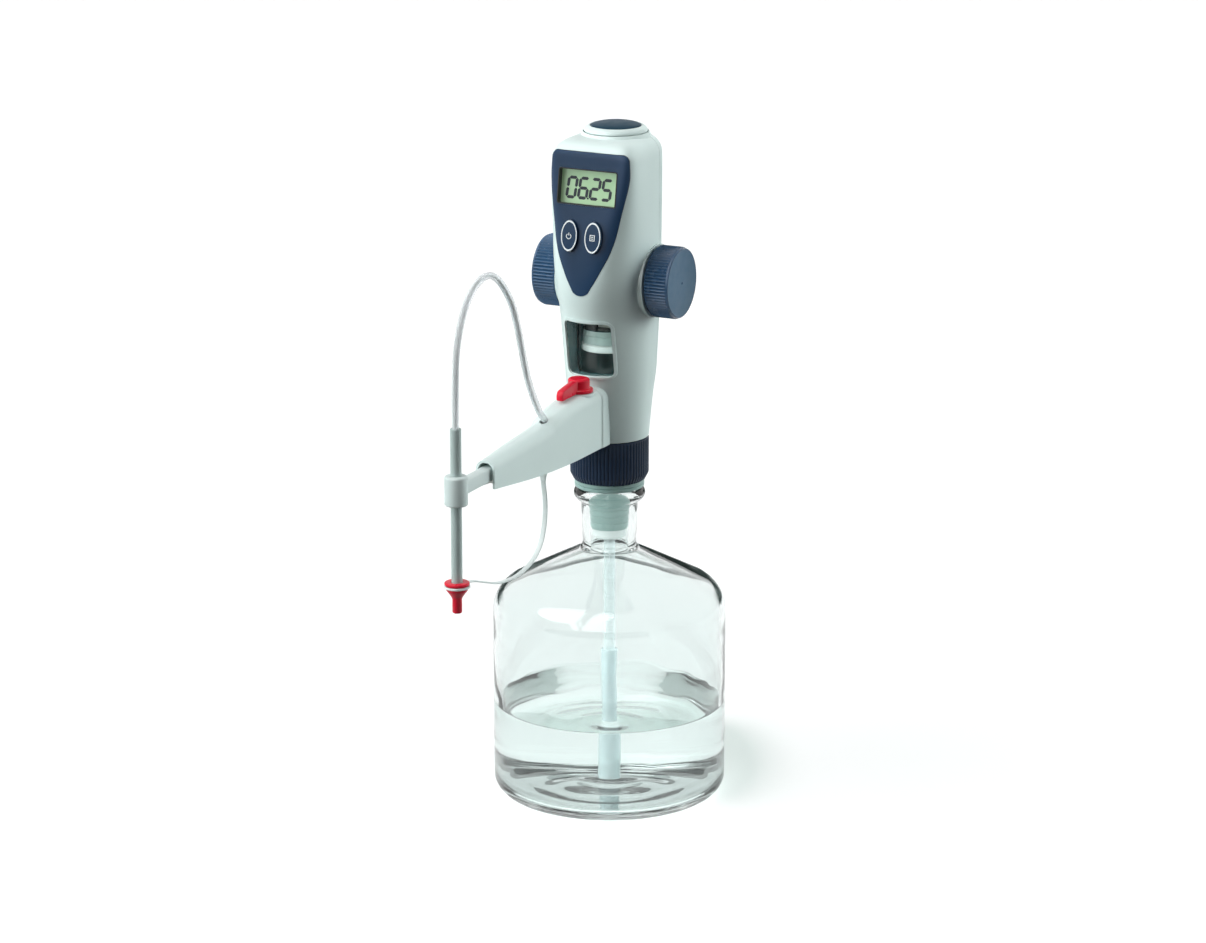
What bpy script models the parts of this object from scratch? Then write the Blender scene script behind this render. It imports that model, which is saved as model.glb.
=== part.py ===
"""Bottle-top digital burette: a hand-driven titration instrument on its glass reagent bottle.

Metres, +Z up, origin at the centre of the bottle's base. The front of the instrument faces -Y, its hand wheels
lie along X and its arm reaches towards -Y.
"""
import math

import bmesh
import bpy
from mathutils import Matrix, Vector

# Clearances
FIT = 0.0003
RUN = 0.0004
FUSED = 0.0001
REACH = 0.2

# Bottle
BOTTLE_HEIGHT = 0.219
BOTTLE_RADIUS = 0.0805
BOTTLE_WALL = 0.004
BOTTLE_FLOOR = 0.007
HEEL_RADIUS = 0.012
SHOULDER_RADIUS = 0.022
SHOULDER_SLOPE = math.radians(27)
SHOULDER_Z = 0.131
NECK_RADIUS = 0.0185
LIP_RADIUS = 0.0246
LIP_HEIGHT = 0.0095
SOCKET_RADIUS = 0.0146
SOCKET_DEPTH = 0.032
SOCKET_TAPER = 0.05

# Neck adapter, collar nut and swivel base
ADAPTER_RADIUS = 0.024
ADAPTER_FLANGE = 0.0053
THREAD_RADIUS = 0.0222
THREAD_HEIGHT = 0.0165
PLUG_LENGTH = 0.029
SEAL_THICKNESS = 0.001
COLLAR_RADIUS = 0.027
COLLAR_HEIGHT = 0.0303
COLLAR_CHAMFER = 0.004
COLLAR_RIBS = 40
RIB_DEPTH = 0.0006
BASE_FLANGE = 0.0035
HUB_RADIUS = 0.0175
SPIGOT_RADIUS = 0.0095
SPIGOT_HEIGHT = 0.006

# Filling valve and suction tube
VALVE_RADIUS = 0.0113
VALVE_LENGTH = 0.059
VALVE_CHAMFER = 0.0015
CHAMBER_RADIUS = 0.0042
CHAMBER_HEIGHT = 0.009
BALL_RADIUS = 0.0034
PORT_RADIUS = 0.002
SUCTION_RADIUS = 0.004
SUCTION_BORE = 0.0026
SUCTION_LENGTH = 0.120
SUCTION_SOCKET = 0.012
SLEEVE_WALL = 0.0012
SLEEVE_LENGTH = 0.087
SLEEVE_TOP_Z = 0.101

# Housing
FOOT_GAP = 0.0006
WALL = 0.0025
HEAD_ROOM = 0.0165
TOP_ROUNDING = 0.012
SEAM_Y = 0.0135
SKIRT_RISE = 0.0242
WINDOW_RISE = 0.0482
WINDOW_HEIGHT = 0.038
WINDOW_HALF_WIDTH = 0.017
WINDOW_CORNER = 0.004
WINDOW_DEPTH = 0.0008
WINDOW_RIM = 0.0014
PANE_THICKNESS = 0.0014
PANEL_GAP = 0.020
PANEL_MARGIN = 0.006
PANEL_CORNER = 0.005
PANEL_TIP_RADIUS = 0.0078
PANEL_PROUD = 0.0003
PANEL_DEPTH = 0.0012
NOSE_REACH = 0.0455
BROW_REACH = 0.0305
SECTION_POINTS = 28
TOP_STEPS = 4

# Display, circuit board and front keys, measured from the panel's plane
DISPLAY_WIDTH = 0.0435
DISPLAY_HEIGHT = 0.024
DISPLAY_DROP = 0.023
DISPLAY_CORNER = 0.0015
LCD_RECESS = 0.005
LCD_MARGIN = 0.0006
LCD_THICKNESS = 0.004
LCD_CORNER = 0.001
BOARD_WIDTH = 0.044
BOARD_HEAD = 0.015
BOARD_TAIL = 0.014
BOARD_CORNER = 0.002
BOARD_THICKNESS = 0.0016
KEY_HALF_WIDTH = 0.006
KEY_HALF_HEIGHT = 0.0107
KEY_SPACING = 0.0174
KEY_DROP = 0.032
KEY_PROUD = 0.0018
KEY_TRAVEL = 0.0012
KEY_EDGE = 0.0006
SWITCH_SIZE = 0.006
SWITCH_CORNER = 0.001

# Top key
TOP_KEY_Y = 0.0097
TOP_KEY_RADIUS = 0.0216
TOP_KEY_TRAVEL = 0.0015
TOP_KEY_RIM = 0.0022
TOP_KEY_CROWN = 0.002
TOP_KEY_LAND = 0.0012
TOP_KEY_EDGE = 0.0008
CAP_RADIUS = 0.0172
CAP_RISE = 0.0022
CAP_SINK = 0.0004
STEM_RADIUS = 0.007
STEM_LENGTH = 0.007

# Hand wheels, shaft and gears
WHEEL_Y = 0.0068
WHEEL_RISE = 0.1092
WHEEL_RADIUS = 0.0246
WHEEL_INNER_X = 0.033
WHEEL_THICKNESS = 0.018
WHEEL_CHAMFER = 0.0012
WHEEL_RIBS = 40
BOSS_RADIUS = 0.0252
BOSS_FLARE = 0.0275
BOSS_DEPTH = 0.010
SHAFT_RADIUS = 0.003
SHAFT_GRIP = 0.012
BUSH_RADIUS = 0.0048
BUSH_FLANGE = 0.0066
BUSH_FLANGE_THICKNESS = 0.0012
BUSH_SEAT = 0.0012
GEAR_MODULE = 0.00084
PRESSURE_ANGLE = math.radians(25)
ADDENDUM = 0.9
DEDENDUM = 1.15
BACKLASH = 0.00018
DRIVE_TEETH = 10
REDUCTION_TEETH = 30
RACK_PINION_TEETH = 12
GEAR_X = 0.0083
GEAR_WIDTH = 0.0045
IDLER_PIN_RADIUS = 0.002
FRAME_PLATE = 0.002
FRAME_LEFT_X = -0.0055
FRAME_RIGHT_X = 0.0140
FRAME_FRONT_Y = 0.0025
FRAME_BACK_Y = 0.0262
FRAME_CREST = 0.0102

# Cylinder and piston
CYLINDER_Y = -0.004
CYLINDER_BORE = 0.0175
CYLINDER_WALL = 0.0025
CYLINDER_DROP = 0.013
HEAD_THICKNESS = 0.005
HEAD_SKIRT = 0.004
HEAD_RIM = 0.0018
PISTON_RISE = 0.013
PISTON_SEAL_HEIGHT = 0.0052
PISTON_HEIGHT = 0.010
PISTON_GAP = 0.0012
ROD_HALF_WIDTH = 0.004
ROD_FRONT_Y = -0.0095
ROD_SPARE = 0.0082
PISTON_DOWN = 0.0455
PISTON_UP = 0.0065

# Valve block and arm
BLOCK_RADIUS = 0.0238
BLOCK_HEIGHT = 0.0108
BLOCK_RISE = 0.0008
BEAM_FRONT_Y = -0.1005
BEAM_RISE = 0.0047
BEAM_HEIGHT = 0.018
ARM_REAR_Y = -0.037
ARM_END_Y = -0.185
ARM_HALF_WIDTH = 0.012
ARM_END_HALF_WIDTH = 0.0069
ARM_WALL = 0.0015
ARM_CROWN = 0.007
ARM_LIP = 0.0009
ARM_EDGE = 0.0004
SOCKET_REAR_Y = -0.018
LEVER_Y = -0.0475
SEAT_RADIUS = 0.0102
SEAT_RISE = 0.0405
LEVER_FLANGE_RADIUS = 0.0096
LEVER_FLANGE = 0.0022
LEVER_HUB_RADIUS = 0.0074
LEVER_HEIGHT = 0.0097
LEVER_EDGE = 0.0012
LEVER_TIP_Y = -0.077
LEVER_FALL = 0.0025
LEVER_NOSE = 0.004
LEVER_CROWN = 0.0006
LEVER_WIDTH = 0.0050
SPINDLE_RADIUS = 0.0036
SPINDLE_RISE = 0.0127
SPINDLE_COVER = 0.004

# Slide bar, guide tube, cap, hose and strap
BAR_HALF_WIDTH = 0.004
BAR_RISE = 0.0134
BAR_HEIGHT = 0.0088
BAR_REAR_Y = -0.118
GUIDE_REAR_Y = -0.140
GUIDE_FRONT_Y = -0.178
GUIDE_FLOOR = 0.003
GUIDE_LIP = 0.006
TUBE_Y = -0.2255
TUBE_RADIUS = 0.0036
TUBE_BORE = 0.0027
TUBE_RISE = 0.0585
TUBE_LENGTH = 0.1083
RING_RADIUS = 0.0076
RING_RISE = 0.0077
RING_HEIGHT = 0.0195
TIP_RADIUS = 0.0023
TIP_BORE = 0.0011
TIP_LENGTH = 0.020
TIP_REACH = 0.008
CAP_GRIP = 0.006
CAP_FLANGE_RADIUS = 0.0082
CAP_FLANGE = 0.002
CAP_GROOVE = 0.0022
CAP_GROOVE_RADIUS = 0.0064
CAP_SKIRT_RADIUS = 0.0071
CAP_SKIRT = 0.0012
CAP_CONE = 0.0051
CAP_NOSE_RADIUS = 0.0032
CAP_NOSE = 0.0101
HOSE_RADIUS = 0.0023
HOSE_STEP = 0.011
HOSE_HOLE_GAP = 0.0018
NIPPLE_Y = -0.0962
NIPPLE_RADIUS = 0.0038
NIPPLE_HEIGHT = 0.005
HOSE_INSERT = 0.0123
STRAP_WIDTH = 0.0035
STRAP_THICKNESS = 0.001
STRAP_STEP = 0.009
STRAP_RING_RADIUS = 0.0086
ANCHOR_HALF_WIDTH = 0.005
ANCHOR_DROP = 0.0083
ANCHOR_HEIGHT = 0.0205
ANCHOR_TAPER = 0.010
ANCHOR_THICKNESS = 0.0012

# Cells, tray and cover
CELL_RADIUS = 0.00525
CELL_LENGTH = 0.0445
CELL_GAP = 0.0187
CELL_NUB_RADIUS = 0.0019
CELL_NUB_HEIGHT = 0.001
CELL_PITCH = 0.0115
TRAY_FRONT_Y = 0.0155
TRAY_LIP = 0.0030
TRAY_LIP_THICKNESS = 0.0015
TRAY_WALL = 0.0012
COVER_MARGIN = 0.0016
COVER_CORNER = 0.003

# Levels that follow from the sizes above
ADAPTER_BASE_Z = BOTTLE_HEIGHT + FIT
ADAPTER_TOP_Z = ADAPTER_BASE_Z + ADAPTER_FLANGE + THREAD_HEIGHT
SWIVEL_Z = ADAPTER_TOP_Z + FIT + SEAL_THICKNESS + FIT
COLLAR_Z = ADAPTER_BASE_Z + ADAPTER_FLANGE + FIT
COLLAR_TOP_Z = COLLAR_Z + COLLAR_HEIGHT
FOOT_Z = COLLAR_TOP_Z + FOOT_GAP
BLOCK_Z = FOOT_Z + BLOCK_RISE
BLOCK_TOP_Z = BLOCK_Z + BLOCK_HEIGHT
CYLINDER_Z = BLOCK_TOP_Z + FIT + SEAL_THICKNESS + FIT
CYLINDER_RADIUS = CYLINDER_BORE + CYLINDER_WALL
DRIVE_PITCH_RADIUS = GEAR_MODULE * DRIVE_TEETH / 2
REDUCTION_PITCH_RADIUS = GEAR_MODULE * REDUCTION_TEETH / 2
RACK_PITCH_RADIUS = GEAR_MODULE * RACK_PINION_TEETH / 2
WHEEL_Z = FOOT_Z + WHEEL_RISE
IDLER_Z = WHEEL_Z + DRIVE_PITCH_RADIUS + REDUCTION_PITCH_RADIUS
RACK_Y = WHEEL_Y - RACK_PITCH_RADIUS
FRAME_TOP_Z = IDLER_Z + FRAME_CREST
CYLINDER_TOP_Z = WHEEL_Z - CYLINDER_DROP
HEAD_TOP_Z = CYLINDER_TOP_Z + FIT + HEAD_THICKNESS
CELL_BOTTOM_Z = IDLER_Z + CELL_GAP
CELL_Y = TRAY_FRONT_Y + TRAY_WALL + FIT + CELL_RADIUS
TRAY_HALF_WIDTH = CELL_PITCH / 2 + CELL_RADIUS + FIT + TRAY_WALL
TRAY_BOTTOM_Z = CELL_BOTTOM_Z - FIT - TRAY_WALL
TRAY_TOP_Z = CELL_BOTTOM_Z + CELL_LENGTH + FIT + TRAY_WALL
HOUSING_TOP_Z = TRAY_TOP_Z + HEAD_ROOM
SKIRT_Z = FOOT_Z + SKIRT_RISE
WINDOW_BOTTOM_Z = FOOT_Z + WINDOW_RISE
WINDOW_TOP_Z = WINDOW_BOTTOM_Z + WINDOW_HEIGHT
PANEL_TIP_Z = WINDOW_TOP_Z + PANEL_GAP
PANEL_TOP_Z = HOUSING_TOP_Z - PANEL_MARGIN
PANEL_LEAN = math.atan2(NOSE_REACH - BROW_REACH, PANEL_TOP_Z - PANEL_TIP_Z)
DISPLAY_Z = PANEL_TOP_Z - DISPLAY_DROP
KEY_Z = DISPLAY_Z - KEY_DROP
BOARD_TOP_Z = DISPLAY_Z + BOARD_HEAD
BOARD_BOTTOM_Z = KEY_Z - BOARD_TAIL
PISTON_SEAL_Z = WINDOW_BOTTOM_Z + PISTON_RISE
ROD_TOP_Z = IDLER_Z + PISTON_DOWN + ROD_SPARE
BEAM_BOTTOM_Z = FOOT_Z + BEAM_RISE
BEAM_TOP_Z = BEAM_BOTTOM_Z + BEAM_HEIGHT
SEAT_Z = FOOT_Z + SEAT_RISE
LEVER_TOP_Z = SEAT_Z + LEVER_HEIGHT
LEVER_TIP_Z = LEVER_TOP_Z - LEVER_FALL
SPINDLE_BOTTOM_Z = FOOT_Z + SPINDLE_RISE
SPINDLE_TOP_Z = LEVER_TOP_Z - SPINDLE_COVER
BAR_BOTTOM_Z = FOOT_Z + BAR_RISE
RING_BOTTOM_Z = FOOT_Z + RING_RISE
TUBE_TOP_Z = FOOT_Z + TUBE_RISE
TUBE_BOTTOM_Z = TUBE_TOP_Z - TUBE_LENGTH
CAP_TOP_Z = TUBE_BOTTOM_Z + CAP_GRIP
HOSE_END_Y = TUBE_Y - 1e-9
HOSE_END_Z = TUBE_TOP_Z - HOSE_INSERT
ANCHOR_BOTTOM_Z = FOOT_Z - ANCHOR_DROP
ANCHOR_TOP_Z = ANCHOR_BOTTOM_Z + ANCHOR_HEIGHT

# Routes in the plane x = 0, as points of y and height above the housing's foot
HOSE_ROUTE = [
    (-0.0990, 0.0332), (-0.1070, 0.0412), (-0.1159, 0.0538), (-0.1231, 0.0664), (-0.1287, 0.0799),
    (-0.1343, 0.0960), (-0.1385, 0.1070), (-0.1455, 0.1219), (-0.1553, 0.1340), (-0.1651, 0.1427),
    (-0.1762, 0.1480), (-0.1874, 0.1487), (-0.1985, 0.1445), (-0.2097, 0.1358), (-0.2181, 0.1227),
    (-0.2228, 0.1094), (-0.2248, 0.0937), (TUBE_Y, 0.0775), (TUBE_Y, 0.0612),
]
HOSE_SPLIT_Y = -0.1874
STRAP_ROUTE = [
    (-0.1003, -0.0138), (-0.0988, -0.0219), (-0.0989, -0.0323), (-0.1012, -0.0421), (-0.1065, -0.0512),
    (-0.1155, -0.0578), (-0.1273, -0.0615), (-0.1420, -0.0630), (-0.1579, -0.0620), (-0.1723, -0.0594),
    (-0.1893, -0.0539), (-0.2040, -0.0492),
]
STRAP_SPLITS_Y = (-0.1155, -0.1723)

PARTS = None
CUTTERS = None


# Scene set-up, materials and modelling helpers
def start_scene():
    global PARTS, CUTTERS
    for old in list(bpy.data.objects):
        bpy.data.objects.remove(old, do_unlink=True)
    PARTS = bpy.data.collections.new("digital_burette")
    CUTTERS = bpy.data.collections.new("cutters")
    bpy.context.scene.collection.children.link(PARTS)
    bpy.context.scene.collection.children.link(CUTTERS)


def material(name, colour, roughness, metallic=0.0, transmission=0.0):
    made = bpy.data.materials.get(name)
    if made is None:
        made = bpy.data.materials.new(name)
        made.use_nodes = True
        shader = made.node_tree.nodes["Principled BSDF"]
        shader.inputs["Base Color"].default_value = (*colour, 1.0)
        shader.inputs["Roughness"].default_value = roughness
        shader.inputs["Metallic"].default_value = metallic
        shader.inputs["Transmission Weight"].default_value = transmission
    return made


def glass():
    return material("clear_glass", (0.93, 0.97, 0.95), 0.03, transmission=1.0)


def clear_plastic():
    return material("clear_plastic", (0.92, 0.95, 0.95), 0.08, transmission=0.9)


def white_plastic():
    return material("white_plastic", (0.86, 0.87, 0.86), 0.42)


def milky_plastic():
    return material("milky_plastic", (0.82, 0.84, 0.83), 0.35, transmission=0.3)


def grey_plastic():
    return material("grey_plastic", (0.58, 0.60, 0.61), 0.45)


def navy_plastic():
    return material("navy_plastic", (0.030, 0.050, 0.105), 0.38)


def red_plastic():
    return material("red_plastic", (0.72, 0.015, 0.02), 0.32)


def fluoropolymer():
    return material("fluoropolymer", (0.93, 0.93, 0.91), 0.35)


def steel():
    return material("steel", (0.62, 0.63, 0.64), 0.3, metallic=1.0)


def acetal():
    return material("acetal", (0.80, 0.79, 0.74), 0.45)


def add_part(name, mesh, finish, smooth_degrees=35):
    mesh.materials.clear()
    mesh.materials.append(finish)
    mesh.shade_smooth()
    mesh.set_sharp_from_angle(angle=math.radians(smooth_degrees))
    part = bpy.data.objects.new(name, mesh)
    PARTS.objects.link(part)
    return part


def as_cutter(tool):
    for owner in list(tool.users_collection):
        owner.objects.unlink(tool)
    CUTTERS.objects.link(tool)
    tool.hide_render = True
    tool.display_type = "WIRE"
    return tool


def combine(part, tool, operation, solver):
    step = part.modifiers.new(tool.name, "BOOLEAN")
    step.operation = operation
    step.solver = solver
    step.object = as_cutter(tool)
    return part


def cut(part, tool, solver="EXACT"):
    return combine(part, tool, "DIFFERENCE", solver)


def join(part, tool, solver="EXACT"):
    return combine(part, tool, "UNION", solver)


def keep_common(part, tool, solver="EXACT"):
    return combine(part, tool, "INTERSECT", solver)


def finished_mesh(thing, name):
    graph = bpy.context.evaluated_depsgraph_get()
    mesh = bpy.data.meshes.new_from_object(thing.evaluated_get(graph))
    mesh.name = name
    mesh.transform(thing.matrix_world)
    shape = bmesh.new()
    shape.from_mesh(mesh)
    bmesh.ops.remove_doubles(shape, verts=shape.verts, dist=1e-6)
    bmesh.ops.recalc_face_normals(shape, faces=shape.faces)
    shape.to_mesh(mesh)
    shape.free()
    return mesh


def turned(name, profile, finish, centre=(0.0, 0.0), segments=24, ring=False):
    """Turn (radius, height) points, given down the outer side, about a vertical axis."""
    mesh = bpy.data.meshes.new(name)
    points = [(radius, 0.0, height) for radius, height in profile]
    edges = [(index, index + 1) for index in range(len(points) - 1)]
    if ring:
        edges.append((len(points) - 1, 0))
    mesh.from_pydata(points, edges, [])
    part = add_part(name, mesh, finish)
    part.location = (centre[0], centre[1], 0.0)
    turn = part.modifiers.new("turn", "SCREW")
    turn.axis = "Z"
    turn.steps = segments
    turn.render_steps = segments
    turn.use_merge_vertices = True
    turn.merge_threshold = 1e-6
    turn.use_smooth_shade = True
    return part


def disc(name, radius, bottom, top, finish, centre=(0.0, 0.0), segments=20):
    return turned(name, [(0.0, top), (radius, top), (radius, bottom), (0.0, bottom)], finish, centre, segments)


def tube_ring(name, outer, inner, bottom, top, finish, centre=(0.0, 0.0), segments=14):
    profile = [(outer, top), (outer, bottom), (inner, bottom), (inner, top)]
    return turned(name, profile, finish, centre, segments, ring=True)


def along_x(part, x, y, z):
    """Lay a part turned about Z along +X, with its own origin at (x, y, z)."""
    part.matrix_world = Matrix.Translation((x, y, z)) @ Matrix.Rotation(math.pi / 2, 4, "Y")
    return part


def block(name, low, high, finish, bevel=0.0):
    shape = bmesh.new()
    bmesh.ops.create_cube(shape, size=1.0)
    low, high = Vector(low), Vector(high)
    size = high - low
    bmesh.ops.transform(
        shape, matrix=Matrix.Translation((low + high) / 2) @ Matrix.Diagonal((*size, 1.0)), verts=shape.verts)
    mesh = bpy.data.meshes.new(name)
    shape.to_mesh(mesh)
    shape.free()
    part = add_part(name, mesh, finish)
    if bevel:
        rounding = part.modifiers.new("rounding", "BEVEL")
        rounding.width = bevel
        rounding.segments = 2
        rounding.limit_method = "ANGLE"
    return part


def flat(name, outline, depth, placing, finish):
    """Extrude a closed outline by its depth, centred on the placing's XY plane."""
    curve = bpy.data.curves.new(name, "CURVE")
    curve.dimensions = "2D"
    curve.fill_mode = "BOTH"
    curve.extrude = depth / 2
    spline = curve.splines.new("POLY")
    spline.points.add(len(outline) - 1)
    for point, (across, up) in zip(spline.points, outline):
        point.co = (across, up, 0.0, 1.0)
    spline.use_cyclic_u = True
    sketch = bpy.data.objects.new(name + "_sketch", curve)
    PARTS.objects.link(sketch)
    mesh = finished_mesh(sketch, name)
    bpy.data.objects.remove(sketch, do_unlink=True)
    part = add_part(name, mesh, finish)
    part.matrix_world = placing
    return part


def facing_front(y):
    """Place an outline drawn in (x, z) so that its middle plane lies at this y."""
    return Matrix.Translation((0.0, y, 0.0)) @ Matrix.Rotation(math.pi / 2, 4, "X")


def facing_side(x, y, z):
    """Place an outline drawn in (y, z) about a shaft along X."""
    turn = Matrix.Rotation(math.pi / 2, 4, "Z") @ Matrix.Rotation(math.pi / 2, 4, "X")
    return Matrix.Translation((x, y, z)) @ turn


def lofted(name, loops, finish):
    """Skin a run of loops that have equal point counts, and cap both ends."""
    shape = bmesh.new()
    rings = [[shape.verts.new(point) for point in loop] for loop in loops]
    count = len(loops[0])
    for lower, upper in zip(rings, rings[1:]):
        for index in range(count):
            after = (index + 1) % count
            shape.faces.new((lower[index], lower[after], upper[after], upper[index]))
    shape.faces.new(rings[0])
    shape.faces.new(rings[-1])
    bmesh.ops.recalc_face_normals(shape, faces=shape.faces)
    mesh = bpy.data.meshes.new(name)
    shape.to_mesh(mesh)
    shape.free()
    return add_part(name, mesh, finish)


def smooth(keys, place):
    """Read a smooth curve through (place, value) keys."""
    keys = sorted(keys)
    if place <= keys[0][0]:
        return keys[0][1]
    if place >= keys[-1][0]:
        return keys[-1][1]
    slopes = []
    for index in range(len(keys)):
        before = keys[max(index - 1, 0)]
        after = keys[min(index + 1, len(keys) - 1)]
        slopes.append((after[1] - before[1]) / (after[0] - before[0]))
    for index in range(len(keys) - 1):
        (start, low), (end, high) = keys[index], keys[index + 1]
        if start <= place <= end:
            span = end - start
            t = (place - start) / span
            return ((2 * t**3 - 3 * t**2 + 1) * low + (t**3 - 2 * t**2 + t) * span * slopes[index]
                    + (3 * t**2 - 2 * t**3) * high + (t**3 - t**2) * span * slopes[index + 1])


def arc(centre, radius, start, end, steps):
    """Points on an arc between two angles in degrees."""
    points = []
    for step in range(steps + 1):
        angle = math.radians(start + (end - start) * step / steps)
        points.append((centre[0] + radius * math.cos(angle), centre[1] + radius * math.sin(angle)))
    return points


def rounded_box(half_width, bottom, top, radius, steps=3):
    """Outline of a rectangle with round corners, in (x, z)."""
    right, left = half_width - radius, radius - half_width
    outline = arc((right, top - radius), radius, 0, 90, steps)
    outline += arc((left, top - radius), radius, 90, 180, steps)
    outline += arc((left, bottom + radius), radius, 180, 270, steps)
    outline += arc((right, bottom + radius), radius, 270, 360, steps)
    return outline


def oval(half_width, half_height, middle, steps=16):
    turn = 2 * math.pi / steps
    return [(middle[0] + half_width * math.cos(turn * step), middle[1] + half_height * math.sin(turn * step))
            for step in range(steps)]


# Bottle and what screws on it
def bottle_profile(bottom, bottom_radius):
    """Half section of the bottle's blown body: up its inner side, over the lip and down its outer side."""
    centre = (BOTTLE_RADIUS - SHOULDER_RADIUS, SHOULDER_Z)
    top_angle = 90 - math.degrees(SHOULDER_SLOPE)
    fall = math.tan(SHOULDER_SLOPE)
    outer = arc(centre, SHOULDER_RADIUS, top_angle, 0, 3)
    inner = arc(centre, SHOULDER_RADIUS - BOTTLE_WALL, 0, top_angle, 2)
    neck_z = outer[0][1] + (outer[0][0] - NECK_RADIUS) * fall
    socket_end = SOCKET_RADIUS - SOCKET_TAPER * SOCKET_DEPTH
    inner_top = inner[-1][1] + (inner[-1][0] - socket_end) * fall
    lip_round = LIP_HEIGHT / 2
    profile = [(BOTTLE_RADIUS - BOTTLE_WALL, bottom)] + inner
    profile += [(socket_end, inner_top), (socket_end, BOTTLE_HEIGHT - SOCKET_DEPTH), (SOCKET_RADIUS, BOTTLE_HEIGHT)]
    profile += arc((LIP_RADIUS - lip_round, BOTTLE_HEIGHT - lip_round), lip_round, 90, -90, 3)
    profile += [(NECK_RADIUS, BOTTLE_HEIGHT - LIP_HEIGHT), (NECK_RADIUS, neck_z)] + outer
    return profile + [(BOTTLE_RADIUS, HEEL_RADIUS), (bottom_radius, bottom)]


def make_bottle():
    """Glass floor and the blown body that is fused on it, which share the rounded heel."""
    heel_centre = (BOTTLE_RADIUS - HEEL_RADIUS, HEEL_RADIUS)
    rim_angle = -math.degrees(math.asin((HEEL_RADIUS - BOTTLE_FLOOR) / HEEL_RADIUS))
    heel = arc(heel_centre, HEEL_RADIUS, rim_angle, -90, 3)
    turned("bottle_floor", [(0.0, BOTTLE_FLOOR)] + heel + [(0.0, 0.0)], glass(), segments=32)
    turned("glass_bottle", bottle_profile(BOTTLE_FLOOR + FUSED, heel[0][0]), glass(), segments=32, ring=True)


def plug_radius(z):
    return SOCKET_RADIUS - SOCKET_TAPER * (BOTTLE_HEIGHT - z) - FIT


def make_neck_adapter():
    plug_end = BOTTLE_HEIGHT - PLUG_LENGTH
    flange_top = ADAPTER_BASE_Z + ADAPTER_FLANGE
    bore = VALVE_RADIUS + RUN
    profile = [
        (THREAD_RADIUS, ADAPTER_TOP_Z), (THREAD_RADIUS, flange_top), (ADAPTER_RADIUS, flange_top),
        (ADAPTER_RADIUS, ADAPTER_BASE_Z), (plug_radius(ADAPTER_BASE_Z), ADAPTER_BASE_Z),
        (plug_radius(plug_end), plug_end), (bore, plug_end), (bore, ADAPTER_TOP_Z)]
    turned("neck_adapter", profile, milky_plastic(), ring=True)


def ribbed_outline(radius, ribs, depth):
    points = []
    for index in range(2 * ribs):
        angle = math.pi * index / ribs
        reach = radius - depth * (index % 2)
        points.append((reach * math.cos(angle), reach * math.sin(angle)))
    return points


def make_collar_nut():
    outline = ribbed_outline(COLLAR_RADIUS, COLLAR_RIBS, RIB_DEPTH)
    foot_scale = 1 - 0.6 * COLLAR_CHAMFER / COLLAR_RADIUS
    levels = [(COLLAR_Z, foot_scale), (COLLAR_Z + COLLAR_CHAMFER, 1.0), (COLLAR_TOP_Z, 1.0)]
    loops = [[Vector((x * scale, y * scale, z)) for x, y in outline] for z, scale in levels]
    nut = lofted("collar_nut", loops, navy_plastic())
    shelf = SWIVEL_Z + BASE_FLANGE + FIT
    over = COLLAR_TOP_Z + COLLAR_CHAMFER
    under = COLLAR_Z - COLLAR_CHAMFER
    thread = THREAD_RADIUS + RUN
    throat = HUB_RADIUS + RUN
    bore = [(0.0, over), (throat, over), (throat, shelf), (thread, shelf), (thread, under), (0.0, under)]
    cut(nut, turned("collar_bore", bore, navy_plastic()))


def make_swivel_base():
    spigot_top = BLOCK_Z - FIT + SPIGOT_HEIGHT
    flange_top = SWIVEL_Z + BASE_FLANGE
    profile = [
        (SPIGOT_RADIUS, spigot_top), (SPIGOT_RADIUS, BLOCK_Z - FIT), (HUB_RADIUS, BLOCK_Z - FIT),
        (HUB_RADIUS, flange_top), (THREAD_RADIUS, flange_top), (THREAD_RADIUS, SWIVEL_Z),
        (PORT_RADIUS, SWIVEL_Z), (PORT_RADIUS, spigot_top)]
    turned("swivel_base", profile, grey_plastic(), ring=True)
    seal_z = ADAPTER_TOP_Z + FIT
    tube_ring("neck_seal", THREAD_RADIUS, VALVE_RADIUS + RUN, seal_z, seal_z + SEAL_THICKNESS, fluoropolymer())


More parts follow.
